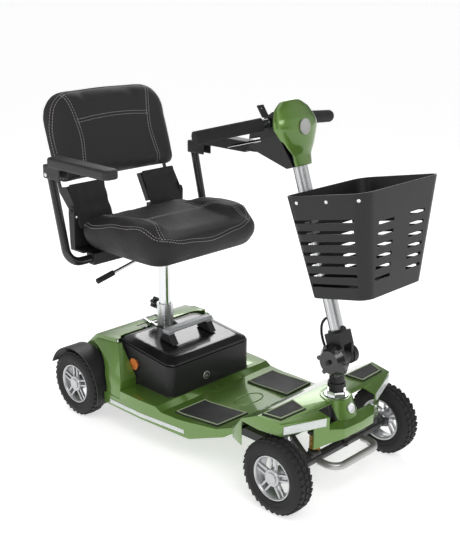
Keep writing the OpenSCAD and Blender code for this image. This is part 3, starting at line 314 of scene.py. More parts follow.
white_strip = finish_of("white_strip", LEATHER, (0.74, 0.80, 0.77), (0.86, 0.90, 0.88), (0.18, 0.3), 40, 420,
                        0.0004, coat=0.6)
amber_lens = finish_of("amber_lens", LEATHER, (0.85, 0.16, 0.012), (0.95, 0.26, 0.03), (0.12, 0.22), 60, 380,
                       0.0005, coat=1.0)
red_plastic = finish_of("red_plastic", GRAIN, (0.45, 0.02, 0.02), (0.6, 0.04, 0.03), (0.3, 0.4), 60, 1500, 0.0001)
spring_paint = finish_of("spring_paint", GRAIN, (0.62, 0.32, 0.03), (0.75, 0.42, 0.05), (0.26, 0.4), 60, 1400,
                         0.0001, coat=0.5)
cast_grey = finish_of("cast_grey", GRAIN, (0.10, 0.10, 0.105), (0.16, 0.16, 0.165), (0.5, 0.66), 20, 520,
                      0.0006, metal=0.5)
brass = finish_of("brass", GRAIN, (0.50, 0.35, 0.12), (0.60, 0.43, 0.17),
                  (0.25, 0.4), 60, 1600, 0.0001, metal=1.0)
floor_paint = finish_of("floor_paint", GRAIN, (0.86, 0.86, 0.86), (0.88, 0.88, 0.88), (0.8, 0.9), 2, 40, 0.0002,
                        Emission_Color=(1, 1, 1, 1), Emission_Strength=0.60)

FINISH = {
    green_paint: ["deck_cover", "rear_cover", "front_cover", "head_shroud"],
    frame_black: ["main_frame", "tie_rod", "controller", "steering_column"],
    cast_grey: ["transaxle", "battery_cells", "front_axle", "knuckle_left", "knuckle_right"],
    tube_black: ["armrest_left", "armrest_right", "handlebar"],
    moulded_black: ["battery_case", "rear_mudguards", "backrest_frame", "seat_plate", "head_housing",
                    "tiller_bracket", "column_neck", "ignition_key", "speed_dial", "freewheel_lever"],
    gloss_black: ["battery_lid", "tilt_knob", "post_clamp_knob", "throttle_lever", "basket_bracket"],
    basket_black: ["basket"],
    arm_vinyl: ["arm_pad_left", "arm_pad_right"],
    foam_grip: ["grips"],
    mat_rubber: ["floor_mats"],
    tyre_rubber: ["anti_tip_wheels", "tiller_cable"],
    alloy: ["seat_socket", "tiller_tube"],
    chrome: ["column_nut", "release_lever", "seat_post", "seat_lever"],
    satin_silver: ["front_bumper"],
    grip_silver: ["battery_handle"],
    white_strip: ["reflective_strips"],
    amber_lens: ["side_reflectors"],
    red_plastic: ["horn_button"],
}
for material, names in FINISH.items():
    for name in names:
        NODES[name].data.materials.clear()
        NODES[name].data.materials.append(material)

# Where a piece changes finish
LEVER_GRIP_Y = -0.195
GEARBOX_HALF = 0.08
CARRY_FOOT_Z = 0.284


def second_finish(obj, material, holds):
    """Gives the faces whose middle passes a test another finish."""
    obj.data.materials.append(material)
    for face in obj.data.polygons:
        if holds(face.center):
            face.material_index = len(obj.data.materials) - 1


second_finish(NODES["seat_lever"], foam_grip, lambda c: c.y < LEVER_GRIP_Y)
second_finish(NODES["transaxle"], moulded_black, lambda c: abs(c.y) < GEARBOX_HALF)

# ---- Modelling helpers ----


def only(obj=None):
    bpy.ops.object.select_all(action="DESELECT")
    if obj is not None:
        obj.select_set(True)
        bpy.context.view_layer.objects.active = obj


def placed(name, data):
    """A new object that holds the data, left as the active one."""
    obj = bpy.data.objects.new(name, data)
    bpy.context.scene.collection.objects.link(obj)
    only(obj)
    return obj


def apply_modifier(obj, kind, **settings):
    """Adds a modifier to the active object, sets it up and applies it."""
    modifier = obj.modifiers.new(kind.lower(), kind)
    for label, value in settings.items():
        setattr(modifier, label, value)
    bpy.ops.object.modifier_apply(modifier=modifier.name)


def settle(name, material=None, smooth=40):
    """Names the new piece, puts its place into its mesh and gives it a finish."""
    obj = bpy.context.view_layer.objects.active
    obj.name = name
    only(obj)
    bpy.ops.object.transform_apply(location=True, rotation=True, scale=True)
    if smooth:
        bpy.ops.object.shade_smooth_by_angle(angle=math.radians(smooth))
    if material:
        obj.data.materials.clear()
        obj.data.materials.append(material)
    return obj


def turn_to(axis):
    return Vector(axis).to_track_quat("Z", "Y").to_euler()


FACES_UP = 0.9  # least part of a normal that points along the axis


def rounded_disc(name, place, axis, radius, depth, edge, material, sides=48, inset=0.0, sink=0.0):
    """A disc with a bevelled rim, and a raised or sunk middle."""
    only()
    bpy.ops.mesh.primitive_cylinder_add(vertices=sides, radius=radius, depth=depth, location=place,
                                        rotation=turn_to(axis))
    obj = bpy.context.view_layer.objects.active
    if inset:
        bpy.ops.object.mode_set(mode="EDIT")
        bpy.ops.mesh.select_all(action="DESELECT")
        shape = bmesh.from_edit_mesh(obj.data)
        for face in shape.faces:
            face.select = face.normal.z > FACES_UP
        bmesh.update_edit_mesh(obj.data)
        bpy.ops.mesh.inset(thickness=inset)
        bpy.ops.mesh.inset(thickness=edge, depth=sink)
        bpy.ops.object.mode_set(mode="OBJECT")
    apply_modifier(obj, "BEVEL", width=edge, segments=3, limit_method="ANGLE")
    return settle(name, material)


def tube_along(name, points, width, material, closed=False, sides=6):
    """A round cord of one width along a smooth line."""
    data = bpy.data.curves.new(name, "CURVE")
    data.dimensions = "3D"
    data.bevel_depth = width / 2
    data.bevel_resolution = sides // 2
    data.use_fill_caps = not closed
    line = data.splines.new("POLY")
    line.points.add(len(points) - 1)
    for spot, point in zip(line.points, points):
        spot.co = (*point, 1)
    line.use_cyclic_u = closed
    placed(name, data)
    bpy.ops.object.convert(target="MESH")
    return settle(name, material)


def smooth_line(corners, steps=10):
    """Points of a smooth curve through the corners."""
    line = []
    pts = [Vector(c) for c in corners]
    pts = [2 * pts[0] - pts[1]] + pts + [2 * pts[-1] - pts[-2]]
    for a, b, c, d in zip(pts, pts[1:], pts[2:], pts[3:]):
        for n in range(steps):
            t = n / steps
            line.append(0.5 * (2 * b + (c - a) * t + (2 * a - 5 * b + 4 * c - d) * t * t
                               + (3 * b - a - 3 * c + d) * t ** 3))
    return line + [pts[-2]]


def surface_of(*objects):
    """A tree for finding points on finished surfaces."""
    shape = bmesh.new()
    for obj in objects:
        shape.from_mesh(obj.data)
    tree = BVHTree.FromBMesh(shape)
    shape.free()
    return tree


def onto(tree, points, direction, lift):
    """Points dropped on a surface along a direction, then lifted off it."""
    found = []
    for point in points:
        hit, normal, _, _ = tree.ray_cast(Vector(point), Vector(direction))
        if hit is not None:
            if normal.dot(Vector(direction)) > 0:
                normal = -normal
            found.append((hit + normal * lift, normal))
    return found


STITCH = 0.0062
STITCH_GAP = 0.0026
STITCH_WIDTH = 0.0015
STITCH_HEIGHT = 0.0007
STITCH_ROOT = 0.0008
STITCH_RINGS = ((0, 0.4, 0), (0.25, 1, 1), (0.75, 1, 1), (1, 0.4, 0))  # along, width and height of each ring
TOP_WIDTH = 0.6  # width of a stitch's top against its foot
SEAM_SIDES = (-0.0045, 0.0045)
SEAM_WIDTH = 0.008
SEAM_DEPTH = 0.0026
SHORTEST_STEP = 1e-6
ABOVE_COVER = 0.01
SEWN_LIFT = 0.0005


def stitches(name, runs, body):
    """Short raised thread ends along lines on a cover, as one piece."""
    verts, faces = [], []
    for run in runs:
        left = 0.0
        for (a, na), (b, _) in zip(run, run[1:]):
            step = (b - a).length
            if step < SHORTEST_STEP:
                continue
            ahead = (b - a) / step
            while left < step:
                start = a + ahead * left
                side = na.cross(ahead).normalized() * STITCH_WIDTH / 2
                up = na * STITCH_HEIGHT
                root = na * STITCH_ROOT
                first = len(verts)
                for along, wide, high in STITCH_RINGS:
                    centre = start + ahead * STITCH * along
                    verts += [centre + side * wide - root, centre + side * wide * TOP_WIDTH + up * high,
                              centre - side * wide * TOP_WIDTH + up * high, centre - side * wide - root]
                for ring in range(3):
                    for k in range(4):
                        p = first + ring * 4
                        faces.append((p + k, p + (k + 1) % 4, p + 4 + (k + 1) % 4, p + 4 + k))
                faces += [(first + 3, first + 2, first + 1, first), tuple(first + 12 + k for k in range(4))]
                left += STITCH + STITCH_GAP
            left -= step
    mesh = bpy.data.meshes.new(name)
    mesh.from_pydata(verts, [], faces)
    obj = placed(name, mesh)
    bpy.ops.object.mode_set(mode="EDIT")
    bpy.ops.mesh.select_all(action="SELECT")
    bpy.ops.mesh.normals_make_consistent(inside=False)
    bpy.ops.object.mode_set(mode="OBJECT")
    settle(name, thread, smooth=60)
    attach(obj, body)


def beside(run, offset, tree):
    """A line moved sideways, then laid on the surface again."""
    moved = []
    for k, (point, normal) in enumerate(run):
        ahead = run[min(k + 1, len(run) - 1)][0] - run[max(k - 1, 0)][0]
        over = point + normal.cross(ahead).normalized() * offset + normal * ABOVE_COVER
        hit, facing, _, _ = tree.ray_cast(over, -normal)
        if hit is not None:
            moved.append((hit + facing * SEWN_LIFT, facing))
    return moved


# ---- Padded covers ----

CLOTH_FRAMES = 20
COVER_SHRINK = 0.982
COVER_VOXEL = 0.006
FAR_OFF = 9.0
CHUNK = 64


def padded_from(node, name, body, cap, still):
    """A stuffed cover: the CAD solid remeshed, blown up as cloth by no more than the cap, and smoothed."""
    obj = placed(name, NODES[node].data.copy())
    bpy.ops.object.mode_set(mode="EDIT")
    bpy.ops.mesh.select_all(action="SELECT")
    bpy.ops.mesh.remove_doubles(threshold=0.00005)
    bpy.ops.object.mode_set(mode="OBJECT")
    low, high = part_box(node)
    middle = (low + high) / 2
    for v in obj.data.vertices:
        v.co = middle + (v.co - middle) * COVER_SHRINK
    apply_modifier(obj, "REMESH", mode="VOXEL", voxel_size=COVER_VOXEL)
    apply_modifier(obj, "SMOOTH", factor=0.5, iterations=26)
    rest = np.array([v.co for v in obj.data.vertices])
    cloth = obj.modifiers.new("cloth", "CLOTH")
    cloth.settings.quality = 4
    cloth.settings.mass = 0.3
    cloth.settings.tension_stiffness = 18
    cloth.settings.compression_stiffness = 18
    cloth.settings.use_pressure = True
    cloth.settings.uniform_pressure_force = 4.0
    cloth.settings.effector_weights.gravity = 0.0
    cloth.point_cache.frame_end = CLOTH_FRAMES
    for step in range(1, CLOTH_FRAMES + 1):
        bpy.context.scene.frame_set(step)
    blown = obj.evaluated_get(bpy.context.evaluated_depsgraph_get()).to_mesh()
    now = np.array([v.co for v in blown.vertices])
    move = now - rest
    size = np.linalg.norm(move, axis=1, keepdims=True)
    move *= np.minimum(1.0, cap / np.maximum(size, 1e-9))
    move *= still(rest)[:, None]
    only(obj)
    bpy.ops.object.modifier_apply(modifier="cloth")
    for v, place in zip(obj.data.vertices, rest + move):
        v.co = place
    bpy.context.scene.frame_set(1)
    apply_modifier(obj, "SMOOTH", factor=0.5, iterations=8)
    apply_modifier(obj, "SUBSURF", levels=1, render_levels=1)
    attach(obj, body)
    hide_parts(node)
    obj.data.materials.clear()
    obj.data.materials.append(seat_vinyl)
    only(obj)
    bpy.ops.object.shade_smooth()
    return obj


def sew(obj, lines, width, depth):
    """Sewn channels: the cover drawn in along lines."""
    pts = np.array([p for line in lines for p, _ in line])
    co = np.array([v.co for v in obj.data.vertices])
    nearest = np.full(len(co), FAR_OFF)
    for start in range(0, len(pts), CHUNK):
        part = pts[start:start + CHUNK]
        nearest = np.minimum(nearest, np.linalg.norm(co[:, None, :] - part[None], axis=2).min(1))
    pull = np.clip(1 - nearest / width, 0, 1) ** 1.5 * depth
    for v, amount in zip(obj.data.vertices, pull):
        if amount > 0:
            v.co = v.co - v.normal * amount


seat_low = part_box("cushion")[0]
SEAT_BASE = 0.012
SEAT_RISE = 0.03


def seat_holds(points):
    """Lets the top and the sides swell, and keeps the base flat on its plate."""
    return np.clip((points[:, 2] - seat_low.z - SEAT_BASE) / SEAT_RISE, 0, 1)


seat = padded_from("cushion", "seat_cover", "seat", 0.007, seat_holds)

# Seams of the cushion from above, as (x, y)
SEAT_EDGE = [(-0.408, -0.190), (-0.350, -0.206), (-0.250, -0.208), (-0.150, -0.200), (-0.098, -0.180),
             (-0.072, -0.140), (-0.066, -0.070), (-0.064, 0.0)]
edge_plan = SEAT_EDGE + [(x, -y) for x, y in SEAT_EDGE[-2::-1]]
CROSS = [(-0.085, -0.165), (-0.150, -0.150), (-0.215, -0.138), (-0.245, -0.110), (-0.252, -0.050),
         (-0.252, 0.0)]
cross_plan = CROSS + [(x, -y) for x, y in CROSS[-2::-1]]
SIDE = [(-0.238, -0.124), (-0.300, -0.130), (-0.400, -0.138)]
ABOVE_SEAT = 0.8


def seat_runs(surface):
    """The cushion's seams, dropped on its cover."""
    plans = [edge_plan, cross_plan, SIDE, [(x, -y) for x, y in SIDE]]
    return [onto(surface, [(p.x, p.y, ABOVE_SEAT) for p in smooth_line([(x, y, 0) for x, y in plan])],
                 (0, 0, -1), 0.0) for plan in plans]


sew(seat, seat_runs(surface_of(seat)), SEAM_WIDTH, SEAM_DEPTH)
seat_surface = surface_of(seat)
stitches("seat_stitching",
         [beside(run, side, seat_surface) for run in seat_runs(seat_surface) for side in SEAM_SIDES],
         "seat")

# Backrest pad, in a frame that leans back about its hinge
LEAN = math.radians(16.8)
HINGE = Vector((-0.434, 0.0, 0.633))
BACK_X = Vector((math.cos(LEAN), 0, math.sin(LEAN)))
BACK_Z = Vector((-math.sin(LEAN), 0, math.cos(LEAN)))
PLATE_DEPTH = 0.030
BACK_RISE = 0.02
AHEAD_OF_BACK = 0.3


def on_back(x, y, z):
    return HINGE + BACK_X * x + Vector((0, y, 0)) + BACK_Z * z


def back_holds(points):
    """Keeps the rear face against its plate and lets the front swell."""
    depth = (points - np.array(HINGE)) @ np.array(BACK_X)
    return np.clip((depth + PLATE_DEPTH) / BACK_RISE, 0, 1)


back = padded_from("backrest_pad", "back_cover", "backrest", 0.008, back_holds)

# Seams of the backrest from the front, as (y, z) in its own frame
BACK_SEAM = [(-0.150, 0.090), (-0.138, 0.150), (-0.132, 0.210), (-0.142, 0.280), (-0.158, 0.335)]
BACK_BAR = [(-0.133, 0.252), (-0.070, 0.258), (0.0, 0.260), (0.070, 0.258), (0.133, 0.252)]
BACK_EDGE = [(-0.214, 0.096), (-0.218, 0.160), (-0.216, 0.250), (-0.196, 0.306), (-0.150, 0.336),
             (-0.080, 0.342), (0.0, 0.344)]
back_edge_plan = BACK_EDGE + [(-y, z) for y, z in BACK_EDGE[-2::-1]]


def back_runs(surface):
    """The backrest's seams, laid on its cover from the front."""
    plans = [BACK_SEAM, [(-y, z) for y, z in BACK_SEAM], BACK_BAR, back_edge_plan]
    return [onto(surface, [on_back(AHEAD_OF_BACK, p.x, p.y) for p in smooth_line([(y, z, 0) for y, z in plan])],
                 -BACK_X, 0.0) for plan in plans]


sew(back, back_runs(surface_of(back)), SEAM_WIDTH, SEAM_DEPTH)
back_surface = surface_of(back)
stitches("back_stitching",
         [beside(run, side, back_surface) for run in back_runs(back_surface) for side in SEAM_SIDES],
         "backrest")

# Vinyl sleeves over the side brackets, laid in the leaning frame of the back with small creases
SIDES = ((1, "left"), (-1, "right"))
ROWS, COLUMNS = 15, 12
SLEEVE_LOW, SLEEVE_TALL = -0.058, 0.134
SLEEVE_INNER, SLEEVE_WAIST, SLEEVE_OUTER = 0.073, 0.004, 0.206
SLEEVE_DEPTH, SLEEVE_SLOPE = 0.009, 0.012
CREASE_UP, CREASE_ACROSS = 0.0022, 0.0014

for side, label in SIDES:
    verts, faces = [], []
    for i in range(ROWS + 1):
        up = SLEEVE_LOW + SLEEVE_TALL * i / ROWS
        inner = SLEEVE_INNER + SLEEVE_WAIST * math.sin(math.pi * i / ROWS)
        for j in range(COLUMNS + 1):
            across = inner + (SLEEVE_OUTER - inner) * j / COLUMNS
            fold = (CREASE_UP * math.cos(2 * math.pi * i / ROWS * 3)
                    + CREASE_ACROSS * math.cos(2 * math.pi * j / 4))
            verts.append(on_back(SLEEVE_DEPTH - SLEEVE_SLOPE * i / ROWS + fold, side * across, up))
    wide = COLUMNS + 1
    for i in range(ROWS):
        for j in range(COLUMNS):
            quad = (i * wide + j, i * wide + j + 1, (i + 1) * wide + j + 1, (i + 1) * wide + j)
            faces.append(quad if side < 0 else quad[::-1])
    mesh = bpy.data.meshes.new(f"bracket_sleeve_{label}")
    mesh.from_pydata(verts, [], faces)
    sleeve = placed(f"bracket_sleeve_{label}", mesh)
    apply_modifier(sleeve, "SOLIDIFY", thickness=0.005, offset=0.0)
    apply_modifier(sleeve, "SUBSURF", levels=1, render_levels=1)
    settle(sleeve.name, seat_vinyl, smooth=80)
    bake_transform(sleeve)

# ---- Wheels ----

WHEEL_R = 0.102
TYRE_HALF = 0.0275
RIM_R = 0.061
WHEELS = {"front_left": (0.400, 0.2275, 1), "front_right": (0.400, -0.2275, -1),
          "rear_left": (-0.405, 0.236, 1), "rear_right": (-0.405, -0.236, -1)}


def spun(name, outline, centre, steps, material):
    """A ring made by spinning a closed outline of (radius, offset along the axle) about the axle."""
    only()
    bpy.ops.mesh.primitive_circle_add(vertices=len(outline), radius=0.01, location=(0, 0, 0))
    obj = bpy.context.view_layer.objects.active
    for v, (radius, across) in zip(obj.data.vertices, outline):
        v.co = Vector(centre) + Vector((radius, across, 0))
    bpy.ops.object.mode_set(mode="EDIT")
    bpy.ops.mesh.select_all(action="SELECT")
    bpy.ops.mesh.spin(steps=steps, angle=2 * math.pi, center=centre, axis=(0, 1, 0))
    bpy.ops.mesh.select_all(action="SELECT")
    bpy.ops.mesh.remove_doubles(threshold=0.00003)
    bpy.ops.mesh.normals_make_consistent(inside=False)
    bpy.ops.object.mode_set(mode="OBJECT")
    return settle(name, material, smooth=38)


def copies_round(obj, centre, angles):
    """Adds turned copies of a modelled block about the axle, in the same mesh."""
    shape = bmesh.new()
    shape.from_mesh(obj.data)
    first = list(shape.verts) + list(shape.edges) + list(shape.faces)
    for angle in angles:
        made = bmesh.ops.duplicate(shape, geom=first)["geom"]
        bmesh.ops.rotate(shape, verts=[g for g in made if isinstance(g, bmesh.types.BMVert)],
                         cent=centre, matrix=Matrix.Rotation(angle, 3, "Y"))
    shape.to_mesh(obj.data)
    shape.free()


def block(centre, size, edge, skew=0.0):
    """A bevelled block at the top of a wheel, left as the active object."""
    only()
    bpy.ops.mesh.primitive_cube_add(size=1, location=centre, scale=size, rotation=(0, 0, skew))
    obj = bpy.context.view_layer.objects.active
    bpy.ops.object.transform_apply(location=True, rotation=True, scale=True)
    apply_modifier(obj, "BEVEL", width=edge, segments=1)
    return obj


def joined(name, objects, material, smooth=38):
    """Several modelled blocks made one piece."""
    only()
    for obj in objects:
        obj.select_set(True)
    bpy.context.view_layer.objects.active = objects[0]
    bpy.ops.object.join()
    return settle(name, material, smooth)


TREAD = 34
LUG_LENGTH = 0.0135
LUG_EDGE = 0.0009
# Each row of lugs: offset along the axle, width, whether it stands half a pitch round, slant, height, and how far
# its top stays below the tyre's radius
LUG_ROWS = ((-0.0150, 0.0100, False, 0.35, 0.0074, 0.0012), (0.0, 0.0105, True, 0.0, 0.0080, 0.0002),
            (0.0150, 0.0100, False, -0.35, 0.0074, 0.0012))
SPOKES = 5
SPOKE_SIZE = (0.0062, 0.0085, 0.0370)
SPOKE_EDGE = 0.0012
SPOKE_HALF_GAP = 0.0078
SPOKE_UP = 0.0375
SPOKE_IN = 0.0055

for place, (wheel_x, wheel_y, out) in WHEELS.items():
    centre = (wheel_x, wheel_y, WHEEL_R)
    half = TYRE_HALF
    tread_r = WHEEL_R - 0.0035
    right_side = [(RIM_R, half - 0.008), (RIM_R + 0.003, half - 0.004), (RIM_R + 0.008, half - 0.002),
                  (0.074, half - 0.0018), (0.0755, half - 0.0004), (0.080, half), (0.086, half - 0.001),
                  (0.093, half - 0.0042), (0.0965, half - 0.0085), (tread_r, half - 0.015)]
    outline = right_side + [(tread_r, 0.0)] + [(r, -y) for r, y in reversed(right_side)]
    tyre = spun(f"tyre_body_{place}", outline, centre, 72, tyre_rubber)
    blocks = []
    for across, wide, between, skew, tall, below in LUG_ROWS:
        top = WHEEL_R - below
        lug = block((wheel_x, wheel_y + across, WHEEL_R + top - tall / 2), (LUG_LENGTH, wide, tall),
                    LUG_EDGE, skew)
        if between:
            lug.data.transform(Matrix.Translation(centre) @ Matrix.Rotation(math.pi / TREAD, 4, "Y")
                               @ Matrix.Translation(-Vector(centre)))
        copies_round(lug, centre, [2 * math.pi * k / TREAD for k in range(1, TREAD)])
        blocks.append(lug)
    tyre = joined(f"tyre_tread_{place}", [tyre] + blocks, tyre_rubber)
    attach(tyre, f"{place}_wheel")
    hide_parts(f"tyre_{place}")

    # Rim: barrel with a rolled lip, five pairs of spokes, a hub and a flat cap
    face = out * (half - 0.0075)
    barrel = [(0.0608, face + out * 0.0015), (0.0600, face + out * 0.0030), (0.0575, face + out * 0.0032),
              (0.0555, face + out * 0.0012), (0.0535, face - out * 0.005), (0.0530, -face + out * 0.004),
              (0.0560, -face), (0.0608, -face - out * 0.001)]
    rim_parts = [spun(f"barrel_{place}", barrel, centre, 72, silver_paint)]
    twins = [block((x, wheel_y + face - out * SPOKE_IN, WHEEL_R + SPOKE_UP), SPOKE_SIZE, SPOKE_EDGE)
             for x in (wheel_x + SPOKE_HALF_GAP, wheel_x - SPOKE_HALF_GAP)]
    pair = joined(f"spokes_{place}", twins, silver_paint)
    copies_round(pair, centre, [2 * math.pi * k / SPOKES for k in range(1, SPOKES)])
    rim_parts.append(pair)
    hub = [(0.0245, face - out * 0.002), (0.0225, face + out * 0.002), (0.0100, face + out * 0.0045),
           (0.0088, face - out * 0.004), (0.0088, -face), (0.0190, -face), (0.0215, -face + out * 0.004)]
    rim_parts.append(spun(f"hub_{place}", hub, centre, 48, silver_paint))
    rim = joined(f"alloy_rim_{place}", rim_parts, silver_paint)
    cap = rounded_disc(f"hub_cap_{place}", (wheel_x, wheel_y + face + out * 0.0042, WHEEL_R), (0, out, 0),
                       0.0165, 0.0050, 0.0012, silver_paint, inset=0.004, sink=-0.0007)
    for piece in (rim, cap):
        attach(piece, f"{place}_wheel")
    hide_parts(f"rim_{place}")

# ---- Front suspension ----

low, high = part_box("front_springs")
COIL_TURNS = 6
COIL_STEPS = 20
COIL_R = 0.0125
WIRE = 0.0048
GUIDE_R = 0.0055
GUIDE_SHORTER = 0.012

for side, label in SIDES:
    coil = []
    for k in range(COIL_TURNS * COIL_STEPS + 1):
        angle = 2 * math.pi * k / COIL_STEPS
        share = k / (COIL_TURNS * COIL_STEPS)
        coil.append((0.408 + COIL_R * math.cos(angle), side * 0.092 + COIL_R * math.sin(angle),
                     low.z + WIRE / 2 + (high.z - low.z - WIRE) * share))
    spring = tube_along(f"coil_spring_{label}", coil, WIRE, spring_paint, sides=8)
    rod = rounded_disc(f"spring_guide_{label}", (0.408, side * 0.092, (low.z + high.z) / 2), (0, 0, 1),
                       GUIDE_R, high.z - low.z - GUIDE_SHORTER, 0.0012, frame_black, sides=24)
    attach(spring, "chassis")
    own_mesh(spring)
    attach(rod, "suspension")
    if side == 1:
        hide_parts("front_springs")

# ---- Deck trim ----

deck_surface = surface_of(NODES["deck_cover"], NODES["floor_mats"], NODES["front_cover"])
ABOVE_DECK = 0.5
EDGE_STEPS = 12
PIPING_LIFT = 0.15  # share of the cord's width
PIPING = 0.0034
OVAL_X, OVAL_LONG, OVAL_WIDE, OVAL_STEPS = 0.085, 0.030, 0.050, 48


def deck_line(name, plan, width, material):
    """A closed cord laid on the deck round a plan of (x, y) corners."""
    corners = [(x, y, 0) for x, y in plan + plan[:1]]
    line = []
    for a, b in zip(corners, corners[1:]):
        for n in range(EDGE_STEPS):
            line.append(Vector(a).lerp(Vector(b), n / EDGE_STEPS))
    run = onto(deck_surface, [(p.x, p.y, ABOVE_DECK) for p in line], (0, 0, -1), width * PIPING_LIFT)
    piece = tube_along(name, [p for p, _ in run], width, material, closed=True)
    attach(piece, "chassis")


for side, label in SIDES:
    for node, plan in (("floor", [(-0.002, 93), (-0.004, 200), (0.150, 192), (0.156, 86)]),
                       ("fender", [(0.347, 114), (0.347, 222), (0.390, 208), (0.394, 122)])):
        pts = [(x, side * y / 1000) for x, y in plan]
        deck_line(f"{node}_mat_piping_{label}", pts, PIPING, pale_piping)

# Raised oval in the floor
oval_turns = [2 * math.pi * k / OVAL_STEPS for k in range(OVAL_STEPS)]
oval = onto(deck_surface, [(OVAL_X + OVAL_LONG * math.cos(a), OVAL_WIDE * math.sin(a), ABOVE_DECK)
                           for a in oval_turns], (0, 0, -1), 0.0)
oval_piece = tube_along("deck_oval", [p for p, _ in oval], 0.0040, green_paint, closed=True)
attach(oval_piece, "chassis")

# Two raised beads round the battery box, open at the notch in its rear
case_low, case_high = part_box("battery_case")
case_surface = surface_of(NODES["battery_case"])
BEAD_HEIGHTS = (0.1250, 0.1330)
BEAD = 0.0022
BEAD_OUT = 0.0016
CORNER = 0.030
CORNER_STEPS = 8
OUTSIDE_CASE = 0.08

for n, z in enumerate(BEAD_HEIGHTS):
    x0, x1, half = case_low.x - BEAD_OUT, case_high.x + BEAD_OUT, case_high.y + BEAD_OUT
    ring = []
    for cx, cy, start in ((x0 + CORNER, -half + CORNER, 180), (x1 - CORNER, -half + CORNER, 270),
                          (x1 - CORNER, half - CORNER, 0), (x0 + CORNER, half - CORNER, 90)):
        for k in range(CORNER_STEPS + 1):
            a = math.radians(start + 90 * k / CORNER_STEPS)
            ring.append((cx + CORNER * math.cos(a), cy + CORNER * math.sin(a), z))
    middle = Vector(((x0 + x1) / 2, 0, z))
    hugging = []
    for p in ring:
        outward = (Vector(p) - middle).normalized()
        hit = case_surface.ray_cast(Vector(p) + outward * OUTSIDE_CASE, -outward)[0]
        hugging.append(hit if hit is not None else Vector(p))
    bead = tube_along(f"battery_bead_{n}", hugging, BEAD, moulded_black)
    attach(bead, "battery")

# ---- Moulded shells with rounded edges ----


def copy_of(node, name):
    """A merged copy of a CAD node's mesh with whole flat faces."""
    obj = placed(name, NODES[node].data.copy())
    bpy.ops.object.mode_set(mode="EDIT")
    bpy.ops.mesh.select_all(action="SELECT")
    bpy.ops.mesh.remove_doubles(threshold=0.00003)
    bpy.ops.mesh.dissolve_limited(angle_limit=math.radians(1))
    bpy.ops.object.mode_set(mode="OBJECT")
    return obj


def stands_for(obj, node, smooth):
    """Takes a CAD node's place on the node's own body."""
    settle(obj.name, None, smooth)
    for body, members in frame["record"]["behaviour"]["bodies"].items():
        if node in members:
            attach(obj, body)
    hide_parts(node)
    return obj


SKIRT_FRONT_X = 0.20
SKIRT_SIDE_Y = 0.19
TUCKED_Y = 0.200
TUCKED_Z = 0.150


def tuck_skirt(obj):
    """Draws the front lower corners of the deck's skirt in under the fenders."""
    for v in obj.data.vertices:
        if v.co.x > SKIRT_FRONT_X and abs(v.co.y) > SKIRT_SIDE_Y:
            v.co.y = math.copysign(TUCKED_Y, v.co.y)
            v.co.z = max(v.co.z, TUCKED_Z)


def bevelled(node, name, width, shape=None):
    """A shell with a small radius on each edge."""
    obj = copy_of(node, name)
    if shape:
        shape(obj)
    apply_modifier(obj, "BEVEL", width=width, segments=3, limit_method="ANGLE", angle_limit=math.radians(24),
                   miter_outer="MITER_ARC")
    return stands_for(obj, node, 50)


def melted(node, name, voxel, rounds):
    """A solid moulding whose edges are rounded off all over."""
    obj = copy_of(node, name)
    apply_modifier(obj, "REMESH", mode="VOXEL", voxel_size=voxel)
    apply_modifier(obj, "SMOOTH", factor=0.5, iterations=rounds)
    return stands_for(obj, node, 80)


for node, name, slot, width in (("deck_cover", "deck_panel", "green_body", 0.0035),
                                ("front_cover", "front_panel", "green_body", 0.0035),
                                ("rear_cover", "rear_panel", "green_body", 0.0035),
                                ("battery_case", "battery_box", "black_moulding", 0.0025)):
    bevelled(node, name, width, tuck_skirt if node == "deck_cover" else None)
melted("battery_lid", "battery_crown", 0.0030, 26)
melted("head_shroud", "head_dome", 0.0020, 50)
for label in ("left", "right"):
    melted(f"arm_pad_{label}", f"armrest_pad_{label}", 0.0024, 18)
carry = melted("battery_handle", "carry_grip", 0.0022, 6)
second_finish(carry, moulded_black, lambda c: c.z < CARRY_FOOT_Z)

# ---- Small fittings ----

FITTING_SINK = 0.0012
FITTING_EDGE = 0.0012


def fitting(name, nodes, start, direction, body, slot, radius, depth, material, **how):
    """A small round part seated on the first surface along a direction."""
    surface = surface_of(*[NODES[n] for n in nodes])
    hit, normal, _, _ = surface.ray_cast(Vector(start), Vector(direction).normalized())
    if hit is None:
        return
    if normal.dot(Vector(direction)) > 0:
        normal = -normal
    piece = rounded_disc(name, hit + normal * (depth / 2 - FITTING_SINK), normal, radius, depth,
                         min(FITTING_EDGE, depth / 3), material, **how)
    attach(piece, body)


TILT = math.radians(19.2)
UP_TILLER = Vector((-math.sin(TILT), 0, math.cos(TILT)))
FRONT_TILLER = Vector((math.cos(TILT), 0, math.sin(TILT)))
PIVOT = Vector((0.412, 0, 0.362))
BEZEL_STEPS = 32
CHARGE_Y, CHARGE_Z = -0.026, 0.1665
fitting("nose_badge", ["front_cover"], (0.60, 0, 0.262), (-1, 0, -0.22), "chassis", "green_body", 0.014, 0.004,
        chrome, inset=0.003, sink=-0.0008)
head_low, head_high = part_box("head_shroud")
fitting("head_badge", ["head_shroud"], (0.42, 0, (head_low.z + head_high.z) / 2 + 0.035), (-1, 0, -0.1), "tiller",
        "green_body", 0.020, 0.004, satin_silver, inset=0.0035, sink=-0.0008)
for n, up in enumerate((0.075, 0.165)):
    fitting(f"tube_bolt_{n}", ["tiller_tube"], PIVOT + UP_TILLER * up + FRONT_TILLER * 0.2, -FRONT_TILLER,
            "tiller", "black_moulding", 0.007, 0.007, moulded_black, sides=24, inset=0.0025, sink=-0.0015)
fitting("tube_pin", ["tiller_tube"], PIVOT + UP_TILLER * 0.205 + Vector((0, -0.2, 0)), (0, 1, 0), "tiller",
        "bright_steel", 0.0055, 0.005, brass, sides=20)


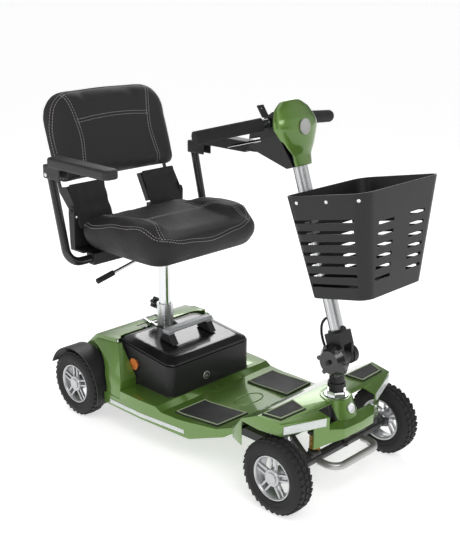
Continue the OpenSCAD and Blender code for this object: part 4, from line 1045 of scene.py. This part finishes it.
def ring_fitting(name, centre, axis, radius, width, body, material):
    """A round bezel about a centre."""
    turn = Vector(axis).to_track_quat("Z", "Y").to_matrix()
    turns = [2 * math.pi * k / BEZEL_STEPS for k in range(BEZEL_STEPS)]
    points = [Vector(centre) + turn @ Vector((radius * math.cos(a), radius * math.sin(a), 0)) for a in turns]
    piece = tube_along(name, points, width, material, closed=True, sides=8)
    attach(piece, body)


face_x = case_surface.ray_cast(Vector((0.25, CHARGE_Y, 0.185)), Vector((-1, 0, 0)))[0].x
socket = rounded_disc("charge_socket", (face_x - 0.0015, CHARGE_Y, CHARGE_Z), (1, 0, 0), 0.0095, 0.004, 0.001,
                      satin_silver, inset=0.003, sink=-0.002)
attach(socket, "battery")
ring_fitting("charge_port", (face_x, CHARGE_Y, CHARGE_Z), (1, 0, 0), 0.0105, 0.0050, "battery",
             satin_silver)
for side, label in SIDES:
    ring_fitting(f"reflector_rim_{label}", (-0.225, side * 0.1700, 0.1965), (0, side, 0), 0.0190, 0.0030,
                 "battery", moulded_black)
    fitting(f"arm_bolt_{label}", [f"arm_pad_{label}"], (-0.4337, side * 0.45, 0.7529), (0, -side, 0),
            f"{label}_arm_pad", "bright_steel", 0.0065, 0.004, chrome, sides=6)
    for n, x in enumerate((0.392, 0.452)):
        fitting(f"axle_bolt_{label}_{n}", ["front_axle"], (x - 0.04, side * 0.4, 0.150 - 0.02 * n), (0, -side, 0),
                "suspension", "bright_steel", 0.007, 0.005, chrome, sides=6)

LIFT = math.radians(11.5)
BASKET_AT = Vector((0.393, 0, 0.548))
BASKET_X = Vector((math.cos(LIFT), 0, math.sin(LIFT)))
BASKET_Z = Vector((-math.sin(LIFT), 0, math.cos(LIFT)))
SCREWS_ALONG = (0.03, 0.12, 0.21)
SCREW_HEIGHT = 0.240
screw_places = [(along, side) for side in (-1, 1) for along in SCREWS_ALONG]
for n, (along, side) in enumerate(screw_places):
    start = BASKET_AT + BASKET_X * along + BASKET_Z * SCREW_HEIGHT + Vector((0, side * 0.4, 0))
    fitting(f"basket_screw_{n}", ["basket"], start, (0, -side, 0), "front_basket", "bright_steel", 0.0045,
            0.003, chrome, sides=20, inset=0.0012, sink=-0.0006)

# ---- Floor ----

only()
bpy.ops.mesh.primitive_plane_add(size=160, location=(0, 0, -0.0006))
floor = settle("floor", floor_paint, smooth=0)
